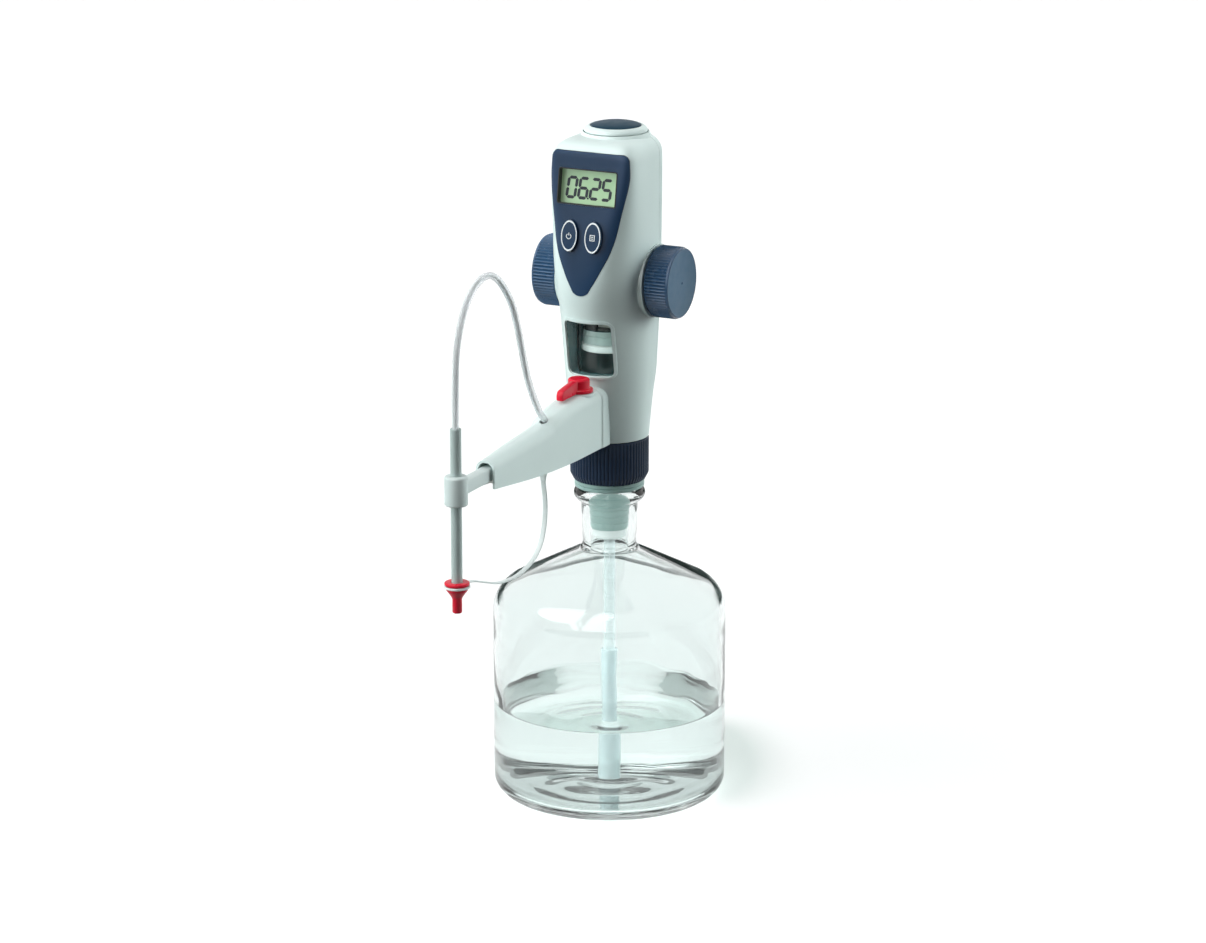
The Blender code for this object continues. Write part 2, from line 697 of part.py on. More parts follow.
def make_filling_valve():
    top = SWIVEL_Z - FIT
    bottom = top - VALVE_LENGTH
    socket_top = bottom + SUCTION_SOCKET
    seat_z = socket_top + 2 * PORT_RADIUS
    chamber_top = seat_z + CHAMBER_HEIGHT
    socket = SUCTION_RADIUS + FIT
    flare = CHAMBER_RADIUS - PORT_RADIUS
    profile = [(VALVE_RADIUS, top), (VALVE_RADIUS, bottom + VALVE_CHAMFER), (VALVE_RADIUS - VALVE_CHAMFER, bottom),
               (socket, bottom), (socket, socket_top), (PORT_RADIUS, socket_top), (PORT_RADIUS, seat_z),
               (CHAMBER_RADIUS, seat_z + flare), (CHAMBER_RADIUS, chamber_top), (PORT_RADIUS, chamber_top + flare),
               (PORT_RADIUS, top)]
    turned("filling_valve", profile, fluoropolymer(), segments=16, ring=True)
    ball = bmesh.new()
    bmesh.ops.create_uvsphere(ball, u_segments=10, v_segments=6, radius=BALL_RADIUS)
    mesh = bpy.data.meshes.new("valve_ball")
    ball.to_mesh(mesh)
    ball.free()
    seated = add_part("valve_ball", mesh, glass(), smooth_degrees=80)
    seated.location.z = seat_z - PORT_RADIUS + math.sqrt(2) * (BALL_RADIUS + FIT)
    tube_top = socket_top - FIT
    tube_ring("suction_tube", SUCTION_RADIUS, SUCTION_BORE, tube_top - SUCTION_LENGTH, tube_top,
              clear_plastic(), segments=14)
    sleeve_bore = SUCTION_RADIUS + RUN
    tube_ring("suction_sleeve", sleeve_bore + SLEEVE_WALL, sleeve_bore, SLEEVE_TOP_Z - SLEEVE_LENGTH,
              SLEEVE_TOP_Z, clear_plastic(), segments=14)


# Housing surface, shared by the shells, the panel, the sight window and the cell cover
def panel_level(share):
    """Height at a share of the way from the front panel's tip to its top."""
    return PANEL_TIP_Z + share * (PANEL_TOP_Z - PANEL_TIP_Z)


def half_width(z):
    return smooth([(FOOT_Z, COLLAR_RADIUS), (SKIRT_Z, 0.0280), (WINDOW_BOTTOM_Z, 0.0295), (WINDOW_TOP_Z, 0.0310),
                   (PANEL_TIP_Z, 0.0315), (panel_level(0.75), 0.0316), (PANEL_TOP_Z, 0.0312)], z)


def front_reach(z):
    return smooth([(FOOT_Z, COLLAR_RADIUS), (SKIRT_Z, 0.0305), (WINDOW_BOTTOM_Z, 0.0340), (WINDOW_TOP_Z, 0.0408),
                   (PANEL_TIP_Z, NOSE_REACH), (panel_level(0.137), NOSE_REACH),
                   (panel_level(0.42), BROW_REACH + 0.77 * (NOSE_REACH - BROW_REACH)),
                   (panel_level(0.75), BROW_REACH + 0.31 * (NOSE_REACH - BROW_REACH)),
                   (PANEL_TOP_Z, BROW_REACH)], z)


def back_reach(z):
    return smooth([(FOOT_Z, COLLAR_RADIUS), (SKIRT_Z, 0.0275), (WINDOW_BOTTOM_Z, 0.0280), (WINDOW_TOP_Z, 0.0300),
                   (panel_level(0.42), 0.0335), (PANEL_TOP_Z, 0.0360)], z)


def front_squareness(z):
    return smooth([(FOOT_Z, 2.0), (WINDOW_TOP_Z, 2.0), (PANEL_TIP_Z, 2.25), (panel_level(0.24), 2.8),
                   (panel_level(0.5), 3.5), (panel_level(0.75), 5.5), (PANEL_TOP_Z, 8.0)], z)


def back_squareness(z):
    return smooth([(FOOT_Z, 2.0), (SKIRT_Z, 2.5), (WINDOW_BOTTOM_Z, 3.2), (PANEL_TOP_Z, 3.0)], z)


def housing_loop(z, inset, shape_z):
    points = []
    for index in range(SECTION_POINTS):
        angle = 2 * math.pi * index / SECTION_POINTS
        across, along = math.cos(angle), math.sin(angle)
        front = along < 0
        power = 2 / (front_squareness(shape_z) if front else back_squareness(shape_z))
        reach = front_reach(shape_z) if front else back_reach(shape_z)
        x = math.copysign(abs(across) ** power, across) * (half_width(shape_z) - inset)
        y = math.copysign(abs(along) ** power, along) * (reach - inset)
        points.append(Vector((x, y, z)))
    return points


def housing_solid(name, inset=0.0, bottom=FOOT_Z):
    """The housing's outer form, drawn in by an even inset, with a rounded top."""
    shoulder = HOUSING_TOP_Z - TOP_ROUNDING
    rounding = TOP_ROUNDING - inset
    levels = [SKIRT_Z, WINDOW_BOTTOM_Z, (WINDOW_BOTTOM_Z + WINDOW_TOP_Z) / 2, WINDOW_TOP_Z]
    levels += [panel_level(share) for share in (0.0, 0.137, 0.295, 0.505, 0.715)]
    levels.append(shoulder)
    loops = [housing_loop(bottom, inset, FOOT_Z)]
    loops += [housing_loop(z, inset, z) for z in levels if z > FOOT_Z]
    for step in range(1, TOP_STEPS + 1):
        angle = math.pi / 2 * step / TOP_STEPS
        drawn_in = inset + rounding * (1 - math.cos(angle))
        loops.append(housing_loop(shoulder + rounding * math.sin(angle), drawn_in, shoulder))
    return lofted(name, loops, white_plastic())


def prism(name, outline, near_y, far_y):
    """A tool that runs an (x, z) outline from one y to another."""
    return flat(name, outline, abs(far_y - near_y), facing_front((near_y + far_y) / 2), white_plastic())


def skin(name, outline, outer_inset, inner_inset, near_y, far_y, finish):
    """A plate that follows the housing's surface between two insets, within an outline."""
    plate = prism(name, outline, near_y, far_y)
    plate.data.materials[0] = finish
    keep_common(plate, housing_solid(name + "_outside", outer_inset))
    cut(plate, housing_solid(name + "_inside", inner_inset, FOOT_Z - 2 * WALL))
    return plate


def pocket(name, outline, inset, near_y, far_y):
    """A tool that clears an outline down to an inset below the housing's surface."""
    tool = prism(name, outline, near_y, far_y)
    cut(tool, housing_solid(name + "_floor", inset))
    return tool


def panel_half_width(z):
    return smooth([(panel_level(0.037), 0.0060), (panel_level(0.137), 0.0115), (panel_level(0.337), 0.0201),
                   (panel_level(0.59), 0.0252), (panel_level(0.82), 0.0288), (PANEL_TOP_Z, 0.0281)], z)


def panel_outline(grow=0.0):
    tip = arc((0.0, PANEL_TIP_Z + PANEL_TIP_RADIUS), PANEL_TIP_RADIUS + grow, 225, 270, 3)
    corner_z = PANEL_TOP_Z - PANEL_CORNER
    side_levels = [panel_level(share) for share in (0.058, 0.137, 0.237, 0.358, 0.505, 0.663, 0.82)] + [corner_z]
    right = [(panel_half_width(z) + grow, z) for z in side_levels]
    corner_x = panel_half_width(corner_z) - PANEL_CORNER
    right += arc((corner_x, corner_z), PANEL_CORNER + grow, 20, 90, 3)
    left = [(-x, z) for x, z in reversed(right)]
    bottom = tip + [(-x, z) for x, z in reversed(tip)][1:]
    return right + left + bottom


def display_outline(grow=0.0):
    half = DISPLAY_HEIGHT / 2 + grow
    return rounded_box(DISPLAY_WIDTH / 2 + grow, DISPLAY_Z - half, DISPLAY_Z + half, DISPLAY_CORNER, 2)


def window_outline(grow=0.0):
    return rounded_box(WINDOW_HALF_WIDTH + grow, WINDOW_BOTTOM_Z - grow, WINDOW_TOP_Z + grow,
                       WINDOW_CORNER + grow)


def cover_outline(grow=0.0):
    half = TRAY_HALF_WIDTH + COVER_MARGIN + grow
    return rounded_box(half, TRAY_BOTTOM_Z - COVER_MARGIN - grow, TRAY_TOP_Z + COVER_MARGIN + grow,
                       COVER_CORNER, 2)


def panel_place(z, depth=0.0):
    """A frame on the panel's centre line: local X across, local Y up the panel, local Z out of it."""
    lean = Matrix.Rotation(math.pi / 2 - PANEL_LEAN, 4, "X")
    surface = Vector((0.0, -front_reach(z), z))
    return Matrix.Translation(surface) @ lean @ Matrix.Translation((0.0, 0.0, -depth))


def wheel_boss(side):
    """Flared boss on the housing behind a hand wheel."""
    face = WHEEL_INNER_X - RUN
    root = face - BOSS_DEPTH
    profile = [(0.0, face), (BOSS_RADIUS, face), (BOSS_FLARE, root), (0.0, root)]
    boss = turned("wheel_boss_" + side, profile, white_plastic(), segments=28)
    along_x(boss, 0.0, WHEEL_Y, WHEEL_Z)
    if side == "left":
        boss.matrix_world = Matrix.Rotation(math.pi, 4, "Z") @ boss.matrix_world
        boss.location.y = WHEEL_Y
    return boss


def arm_arch(y, inset, bottom_drop=0.0):
    """Half-round-topped section of the arm at one y, as (x, z) points from lower right to lower left."""
    half = arm_half_width(y) - inset
    top = arm_top(y) - inset
    bottom = arm_bottom(y) - bottom_drop
    crown = min(ARM_CROWN - inset, half - ARM_EDGE)
    points = [(half, bottom)]
    points += arc((half - crown, top - crown), crown, 0, 90, 3)
    points += arc((crown - half, top - crown), crown, 90, 180, 3)
    points.append((-half, bottom))
    return points


def make_shells():
    form = housing_solid("housing_form")
    join(form, wheel_boss("right"), "MANIFOLD")
    join(form, wheel_boss("left"), "MANIFOLD")
    join(form, arm_socket(), "MANIFOLD")
    cut(form, housing_solid("housing_cavity", WALL, FOOT_Z - 2 * WALL), "MANIFOLD")
    bore = disc("bush_bore", BUSH_RADIUS + FIT, -2 * WHEEL_INNER_X, 2 * WHEEL_INNER_X, white_plastic())
    cut(form, along_x(bore, 0.0, WHEEL_Y, WHEEL_Z), "MANIFOLD")
    deck_bore = disc("stem_bore", STEM_RADIUS + RUN, HOUSING_TOP_Z - 3 * WALL, HOUSING_TOP_Z + WALL,
                     white_plastic(), (0.0, TOP_KEY_Y))
    cut(form, deck_bore, "MANIFOLD")
    cut(form, arm_passage(), "MANIFOLD")
    as_cutter(form)
    front = add_part("front_shell", finished_mesh(form, "front_shell"), white_plastic())
    cut(front, block("behind_seam", (-REACH, SEAM_Y, 0.0), (REACH, REACH, HOUSING_TOP_Z + REACH),
                     white_plastic()), "MANIFOLD")
    rear = add_part("rear_shell", finished_mesh(form, "rear_shell"), white_plastic())
    cut(rear, block("before_seam", (-REACH, -REACH, 0.0), (REACH, SEAM_Y + FIT, HOUSING_TOP_Z + REACH),
                    white_plastic()), "MANIFOLD")
    cut(rear, prism("cover_opening", cover_outline(FIT), SEAM_Y, REACH), "MANIFOLD")
    cut(front, pocket("panel_pocket", panel_outline(FIT), PANEL_DEPTH, -REACH, -WALL), "MANIFOLD")
    cut(front, prism("display_opening", display_outline(), -REACH, -WALL), "MANIFOLD")
    cut(front, pocket("window_rim", window_outline(WINDOW_RIM), WINDOW_DEPTH, -REACH, -WALL), "MANIFOLD")
    cut(front, prism("window_opening", window_outline(), -REACH, -CYLINDER_RADIUS), "MANIFOLD")
    for name, side in (("key_power", -1), ("key_pause", 1)):
        cut(front, key_tool(name + "_opening", side), "MANIFOLD")


def arm_socket():
    """Arch on the front of the housing that the arm cover meets."""
    outline = arm_arch(ARM_REAR_Y, 0.0)
    ends = (ARM_REAR_Y + FIT, SOCKET_REAR_Y)
    return lofted("arm_socket", [[Vector((x, y, z)) for x, z in outline] for y in ends], white_plastic())


def arm_passage():
    """Way through the arch and the housing's wall for the valve block's beam, open below."""
    outline = arm_arch(ARM_REAR_Y, ARM_WALL + ARM_LIP, 2 * WALL)
    ends = (ARM_REAR_Y - WALL, SOCKET_REAR_Y + 2 * WALL)
    return lofted("arm_passage", [[Vector((x, y, z)) for x, z in outline] for y in ends], white_plastic())


def make_panel():
    panel = skin("front_panel", panel_outline(), -PANEL_PROUD, PANEL_DEPTH - FIT, -REACH, -WALL, navy_plastic())
    cut(panel, prism("panel_display_opening", display_outline(), -REACH, -WALL))
    for name, side in (("key_power", -1), ("key_pause", 1)):
        cut(panel, key_tool(name + "_panel_opening", side))
    skin("sight_window", window_outline(-FIT), WINDOW_DEPTH, WINDOW_DEPTH + PANE_THICKNESS, -REACH,
         -CYLINDER_RADIUS, clear_plastic())
    skin("battery_cover", cover_outline(), 0.0, WALL, SEAM_Y, REACH, white_plastic())


def make_display():
    place = panel_place(DISPLAY_Z, LCD_RECESS + LCD_THICKNESS / 2)
    outline = rounded_box(DISPLAY_WIDTH / 2 + LCD_MARGIN, -DISPLAY_HEIGHT / 2 - LCD_MARGIN,
                          DISPLAY_HEIGHT / 2 + LCD_MARGIN, LCD_CORNER, 2)
    flat("lcd_module", outline, LCD_THICKNESS, place, material("lcd_green", (0.42, 0.62, 0.30), 0.25))
    board_z = (BOARD_TOP_Z + BOARD_BOTTOM_Z) / 2
    depth = LCD_RECESS + LCD_THICKNESS + FIT + BOARD_THICKNESS / 2
    place = panel_place(DISPLAY_Z, depth)
    half = (BOARD_TOP_Z - BOARD_BOTTOM_Z) / 2
    middle = board_z - DISPLAY_Z
    outline = rounded_box(BOARD_WIDTH / 2, middle - half, middle + half, BOARD_CORNER, 2)
    board = flat("circuit_board", outline, BOARD_THICKNESS, place, material("board", (0.03, 0.16, 0.07), 0.5))
    for side in (-1, 1):
        join(board, switch(side))


def key_depth():
    """How far the front keys reach behind the panel's plane."""
    return PANEL_DEPTH + WALL


def switch(side):
    """A push switch that stands on the board behind a front key, just past the key's travel."""
    top = key_depth() + KEY_TRAVEL + FIT
    bottom = LCD_RECESS + LCD_THICKNESS + FIT + BOARD_THICKNESS / 2 + SWITCH_SIZE
    place = panel_place(KEY_Z, (top + bottom) / 2)
    place = place @ Matrix.Translation((side * KEY_SPACING / 2, 0.0, 0.0))
    half = SWITCH_SIZE / 2
    return flat("switch_%d" % (side + 2), rounded_box(half, -half, half, SWITCH_CORNER, 1), bottom - top, place,
                steel())


def key_tool(name, side):
    """A tool that opens the panel and the shell for a front key."""
    place = panel_place(KEY_Z) @ Matrix.Translation((side * KEY_SPACING / 2, 0.0, 0.0))
    grown = oval(KEY_HALF_WIDTH + FIT, KEY_HALF_HEIGHT + FIT, (0.0, 0.0))
    return flat(name, grown, 8 * WALL, place, white_plastic())


def make_keys():
    for name, side in (("key_power", -1), ("key_pause", 1)):
        depth = (key_depth() - KEY_PROUD) / 2
        place = panel_place(KEY_Z, depth) @ Matrix.Translation((side * KEY_SPACING / 2, 0.0, 0.0))
        outline = oval(KEY_HALF_WIDTH, KEY_HALF_HEIGHT, (0.0, 0.0))
        key = flat(name, outline, key_depth() + KEY_PROUD, place, navy_plastic())
        rounding = key.modifiers.new("rounding", "BEVEL")
        rounding.width = KEY_EDGE
        rounding.segments = 1
        rounding.limit_method = "ANGLE"
        rounding.angle_limit = math.radians(50)


def make_top_key():
    underside = HOUSING_TOP_Z + TOP_KEY_TRAVEL + FIT
    rim_top = underside + TOP_KEY_RIM
    crown = rim_top + TOP_KEY_CROWN
    seat = CAP_RADIUS + FIT
    centre = (0.0, TOP_KEY_Y)
    stem_bottom = underside - STEM_LENGTH
    profile = [
        (0.0, rim_top), (seat, rim_top), (seat, crown), (seat + TOP_KEY_LAND, crown),
        (TOP_KEY_RADIUS - TOP_KEY_EDGE, rim_top), (TOP_KEY_RADIUS, rim_top - TOP_KEY_EDGE),
        (TOP_KEY_RADIUS, underside), (STEM_RADIUS, underside), (STEM_RADIUS, stem_bottom), (0.0, stem_bottom)]
    turned("top_key", profile, white_plastic(), centre)
    cap_bottom = rim_top + FIT
    cap_profile = [(0.0, crown + CAP_RISE), (0.4 * CAP_RADIUS, crown + 0.9 * CAP_RISE),
                   (0.75 * CAP_RADIUS, crown + 0.6 * CAP_RISE), (0.95 * CAP_RADIUS, crown + 0.15 * CAP_RISE),
                   (CAP_RADIUS, crown - CAP_SINK), (CAP_RADIUS, cap_bottom), (0.0, cap_bottom)]
    turned("top_key_cap", cap_profile, navy_plastic(), centre)


# Hand wheels, gears and frame
def make_hand_wheels():
    outline = ribbed_outline(WHEEL_RADIUS, WHEEL_RIBS, RIB_DEPTH)
    outer = WHEEL_INNER_X + WHEEL_THICKNESS
    inner_scale = 1 - WHEEL_CHAMFER / WHEEL_RADIUS
    levels = [(WHEEL_INNER_X, 1.0), (outer - WHEEL_CHAMFER, 1.0), (outer, inner_scale)]
    for name, side in (("hand_wheel_right", 1), ("hand_wheel_left", -1)):
        loops = [[Vector((side * x, v * scale, u * scale)) for u, v in outline] for x, scale in levels]
        wheel = lofted(name, loops, navy_plastic())
        wheel.location = (0.0, WHEEL_Y, WHEEL_Z)
        near = side * (WHEEL_INNER_X - WHEEL_CHAMFER)
        far = side * (WHEEL_INNER_X + SHAFT_GRIP + FIT)
        bore = disc(name + "_bore", SHAFT_RADIUS + FIT, min(near, far), max(near, far), steel(), segments=14)
        cut(wheel, along_x(bore, 0.0, WHEEL_Y, WHEEL_Z))
    reach = WHEEL_INNER_X + SHAFT_GRIP
    shaft = disc("wheel_shaft", SHAFT_RADIUS, -reach, reach, steel(), segments=14)
    along_x(shaft, 0.0, WHEEL_Y, WHEEL_Z)
    face = WHEEL_INNER_X - RUN
    flange = half_width(WHEEL_Z) - WALL - BUSH_SEAT
    bush_bore = SHAFT_RADIUS + FIT
    for name, side in (("shaft_bush_right", 1), ("shaft_bush_left", -1)):
        profile = [(BUSH_RADIUS, face), (BUSH_RADIUS, flange), (BUSH_FLANGE, flange),
                   (BUSH_FLANGE, flange - BUSH_FLANGE_THICKNESS), (bush_bore, flange - BUSH_FLANGE_THICKNESS),
                   (bush_bore, face)]
        bush = turned(name, profile, acetal(), segments=16, ring=True)
        along_x(bush, 0.0, WHEEL_Y, WHEEL_Z)
        if side < 0:
            bush.matrix_world = Matrix.Rotation(math.pi, 4, "Z") @ bush.matrix_world
            bush.location.y = WHEEL_Y


def involute(angle):
    return math.tan(angle) - angle


def tooth_half_angle(teeth, radius):
    """Half of a tooth's width at a radius, as an angle about the gear's centre."""
    pitch = GEAR_MODULE * teeth / 2
    base = pitch * math.cos(PRESSURE_ANGLE)
    half_at_pitch = math.pi / (2 * teeth) - BACKLASH / (2 * pitch)
    radius = max(radius, base)
    return half_at_pitch + involute(PRESSURE_ANGLE) - involute(math.acos(base / radius))


def gear_outline(teeth, first_tooth):
    """Gear outline with a tooth centred on the first_tooth angle."""
    pitch = GEAR_MODULE * teeth / 2
    root = pitch - DEDENDUM * GEAR_MODULE
    tip = pitch + ADDENDUM * GEAR_MODULE
    outline = []
    for tooth in range(teeth):
        middle = first_tooth + 2 * math.pi * tooth / teeth
        flank = [(radius, tooth_half_angle(teeth, radius)) for radius in (root, tip)]
        for radius, half in flank:
            outline.append((radius * math.cos(middle - half), radius * math.sin(middle - half)))
        for radius, half in reversed(flank):
            outline.append((radius * math.cos(middle + half), radius * math.sin(middle + half)))
    return outline


def make_gears():
    gear_middle = GEAR_X + GEAR_WIDTH / 2
    drive = flat("drive_pinion", gear_outline(DRIVE_TEETH, math.pi / 2), GEAR_WIDTH,
                 facing_side(gear_middle, WHEEL_Y, WHEEL_Z), acetal())
    bore = disc("drive_bore", SHAFT_RADIUS + FIT / 2, 0.0, 2 * GEAR_X + GEAR_WIDTH, steel(), segments=14)
    cut(drive, along_x(bore, 0.0, WHEEL_Y, WHEEL_Z))
    gap_down = -math.pi / 2 + math.pi / REDUCTION_TEETH
    gear = flat("reduction_gear", gear_outline(REDUCTION_TEETH, gap_down), GEAR_WIDTH,
                facing_side(gear_middle, WHEEL_Y, IDLER_Z), acetal())
    pinion_reach = GEAR_X + GEAR_WIDTH / 2
    pinion_middle = (pinion_reach - ROD_HALF_WIDTH) / 2
    pinion = flat("rack_pinion", gear_outline(RACK_PINION_TEETH, math.pi), pinion_reach + ROD_HALF_WIDTH,
                  facing_side(pinion_middle, WHEEL_Y, IDLER_Z), acetal())
    join(gear, pinion)
    pin_bore = disc("pin_bore", IDLER_PIN_RADIUS + FIT, -GEAR_X, 2 * GEAR_X + GEAR_WIDTH, steel(), segments=12)
    cut(gear, along_x(pin_bore, 0.0, WHEEL_Y, IDLER_Z))
    left = FRAME_LEFT_X - FRAME_PLATE
    right = FRAME_RIGHT_X + FRAME_PLATE
    pin = disc("idler_pin", IDLER_PIN_RADIUS, left, right, steel(), segments=12)
    along_x(pin, 0.0, WHEEL_Y, IDLER_Z)
    make_gear_frame(left, right)


def make_gear_frame(left, right):
    """Bent bracket: two cheeks that hold the shaft and the gear's pin, and a back plate on the rear shell."""
    bottom = HEAD_TOP_Z + FIT
    frame = block("gear_frame", (left, FRAME_FRONT_Y, bottom), (right, FRAME_BACK_Y, FRAME_TOP_Z), steel())
    cut(frame, block("frame_hollow", (FRAME_LEFT_X, FRAME_FRONT_Y - WALL, bottom - WALL),
                     (FRAME_RIGHT_X, FRAME_BACK_Y - FRAME_PLATE, FRAME_TOP_Z + WALL), steel()))
    span = 2 * right
    for name, radius, z in (("frame_shaft_hole", SHAFT_RADIUS + RUN, WHEEL_Z),
                            ("frame_pin_hole", IDLER_PIN_RADIUS + FIT, IDLER_Z)):
        cut(frame, along_x(disc(name, radius, -span, span, steel(), segments=14), 0.0, WHEEL_Y, z))


# Cylinder and piston
def make_cylinder():
    centre = (0.0, CYLINDER_Y)
    seal_z = BLOCK_TOP_Z + FIT
    tube_ring("cylinder_seal", CYLINDER_RADIUS, CYLINDER_BORE, seal_z, seal_z + SEAL_THICKNESS, fluoropolymer(),
              centre, segments=24)
    tube_ring("glass_cylinder", CYLINDER_RADIUS, CYLINDER_BORE, CYLINDER_Z, CYLINDER_TOP_Z, glass(), centre,
              segments=32)
    seat = CYLINDER_TOP_Z + FIT
    rim = CYLINDER_RADIUS + FIT
    profile = [(0.0, HEAD_TOP_Z), (rim + HEAD_RIM, HEAD_TOP_Z), (rim + HEAD_RIM, seat - HEAD_SKIRT),
               (rim, seat - HEAD_SKIRT), (rim, seat), (0.0, seat)]
    head = turned("cylinder_head", profile, grey_plastic(), centre, segments=28)
    tooth_tip = RACK_Y + ADDENDUM * GEAR_MODULE
    cut(head, block("rod_slot", (-ROD_HALF_WIDTH - RUN, ROD_FRONT_Y - RUN, seat - WALL),
                    (ROD_HALF_WIDTH + RUN, tooth_tip + RUN, HEAD_TOP_Z + WALL), grey_plastic()))


def rack_outline():
    """Side view of the piston rod in (y, z), with its teeth towards +Y where the rack pinion runs."""
    pitch = math.pi * GEAR_MODULE
    tip = ADDENDUM * GEAR_MODULE
    root = -DEDENDUM * GEAR_MODULE
    half = pitch / 4 - BACKLASH / 2
    slope = math.tan(PRESSURE_ANGLE)
    rod_bottom = piston_top() + FIT
    teeth_below = math.ceil((PISTON_UP + 2 * pitch) / pitch)
    teeth_above = math.ceil((PISTON_DOWN + 2 * pitch) / pitch)
    outline = [(ROD_FRONT_Y, ROD_TOP_Z), (ROD_FRONT_Y, rod_bottom), (RACK_Y + root, rod_bottom)]
    for tooth in range(-teeth_below, teeth_above):
        middle = IDLER_Z + (tooth + 0.5) * pitch
        outline.append((RACK_Y + root, middle - half + root * slope))
        outline.append((RACK_Y + tip, middle - half + tip * slope))
        outline.append((RACK_Y + tip, middle + half - tip * slope))
        outline.append((RACK_Y + root, middle + half - root * slope))
    outline.append((RACK_Y + root, ROD_TOP_Z))
    return outline


def piston_top():
    return PISTON_SEAL_Z + PISTON_SEAL_HEIGHT + FIT + PISTON_HEIGHT


def make_piston():
    centre = (0.0, CYLINDER_Y)
    turn = Matrix.Rotation(math.pi / 2, 4, "Z") @ Matrix.Rotation(math.pi / 2, 4, "X")
    flat("piston_rod", rack_outline(), 2 * ROD_HALF_WIDTH, turn, acetal())
    wall = CYLINDER_BORE - PISTON_GAP
    head_z = PISTON_SEAL_Z + PISTON_SEAL_HEIGHT + FIT
    disc("piston_head", wall, head_z, piston_top(), grey_plastic(), centre)
    lip = CYLINDER_BORE - FIT
    profile = [(0.0, PISTON_SEAL_Z + PISTON_SEAL_HEIGHT), (lip, PISTON_SEAL_Z + PISTON_SEAL_HEIGHT),
               (lip, PISTON_SEAL_Z + PISTON_GAP), (lip - PISTON_GAP, PISTON_SEAL_Z), (0.0, PISTON_SEAL_Z)]
    turned("piston_seal", profile, fluoropolymer(), centre, segments=28)


# Valve block, arm and lever
def arm_half_width(y):
    share = (y - ARM_REAR_Y) / (ARM_END_Y - ARM_REAR_Y)
    return ARM_HALF_WIDTH + (ARM_END_HALF_WIDTH - ARM_HALF_WIDTH) * share


def arm_top(y):
    stations = [(ARM_END_Y, 0.0269), (-0.151, 0.0292), (-0.104, 0.0316), (-0.096, 0.0350), (-0.077, 0.0386),
                (-0.060, 0.0400), (ARM_REAR_Y, 0.0402)]
    return FOOT_Z + smooth(stations, y)


def arm_bottom(y):
    return FOOT_Z + smooth([(ARM_END_Y, 0.0085), (-0.127, 0.0024), (-0.082, 0.0), (ARM_REAR_Y, 0.0)], y)


def make_valve_block():
    socket = SPIGOT_RADIUS + RUN
    socket_top = BLOCK_Z + SPIGOT_HEIGHT + FIT
    profile = [(PORT_RADIUS, BLOCK_TOP_Z), (BLOCK_RADIUS, BLOCK_TOP_Z), (BLOCK_RADIUS, BLOCK_Z),
               (socket, BLOCK_Z), (socket, socket_top), (PORT_RADIUS, socket_top)]
    valve_block = turned("valve_block", profile, fluoropolymer(), ring=True, segments=28)
    join(valve_block, make_beam())
    bore_bottom = SPINDLE_BOTTOM_Z - FIT
    cut(valve_block, disc("spindle_bore", SPINDLE_RADIUS + FIT, bore_bottom, BEAM_TOP_Z + WALL, steel(),
                          (0.0, LEVER_Y), segments=14))


def make_beam():
    """Forward reach of the valve block, which fits inside the arm cover."""
    loops = []
    rise_y = CYLINDER_Y - CYLINDER_RADIUS - 2 * FIT
    for y in (-BLOCK_RADIUS + WALL, rise_y, ARM_REAR_Y, BEAM_FRONT_Y):
        half = min(arm_half_width(y), ARM_HALF_WIDTH) - ARM_WALL - ARM_LIP - 2 * FIT
        top = BLOCK_TOP_Z if y > ARM_REAR_Y else BEAM_TOP_Z
        loops.append([Vector((x, y, z)) for x, z in
                      ((half, BEAM_BOTTOM_Z), (half, top), (-half, top), (-half, BEAM_BOTTOM_Z))])
    return lofted("beam", loops, fluoropolymer())


def make_arm_cover():
    loops = []
    for y in (ARM_REAR_Y, -0.060, -0.082, -0.096, -0.104, -0.127, ARM_END_Y):
        outside = arm_arch(y, 0.0)
        inside = arm_arch(y, ARM_WALL)
        loops.append([Vector((x, y, z)) for x, z in outside + list(reversed(inside))])
    cover = lofted("arm_cover", loops, white_plastic())
    seat_bottom = arm_top(LEVER_Y) - ARM_WALL
    join(cover, disc("lever_seat", SEAT_RADIUS, seat_bottom, SEAT_Z, white_plastic(), (0.0, LEVER_Y)))
    cut(cover, disc("seat_bore", SPINDLE_RADIUS + RUN, BEAM_TOP_Z, SEAT_Z + WALL, white_plastic(),
                    (0.0, LEVER_Y), segments=14))
    cut(cover, hose_hole())


def above_foot(route):
    return [(y, FOOT_Z + height) for y, height in route]


def hose_hole():
    """Tool for the hose's way out of the arm cover, along the hose's first stretch."""
    start = Vector((0.0, NIPPLE_Y, BEAM_TOP_Z + NIPPLE_HEIGHT))
    direction = Vector((0.0, *above_foot(HOSE_ROUTE)[1])) - start
    hole = disc("hose_hole", HOSE_RADIUS + HOSE_HOLE_GAP, 0.0, direction.length, white_plastic(), segments=16)
    turn = Vector((0.0, 0.0, 1.0)).rotation_difference(direction)
    hole.matrix_world = Matrix.Translation(start) @ turn.to_matrix().to_4x4()
    return hole


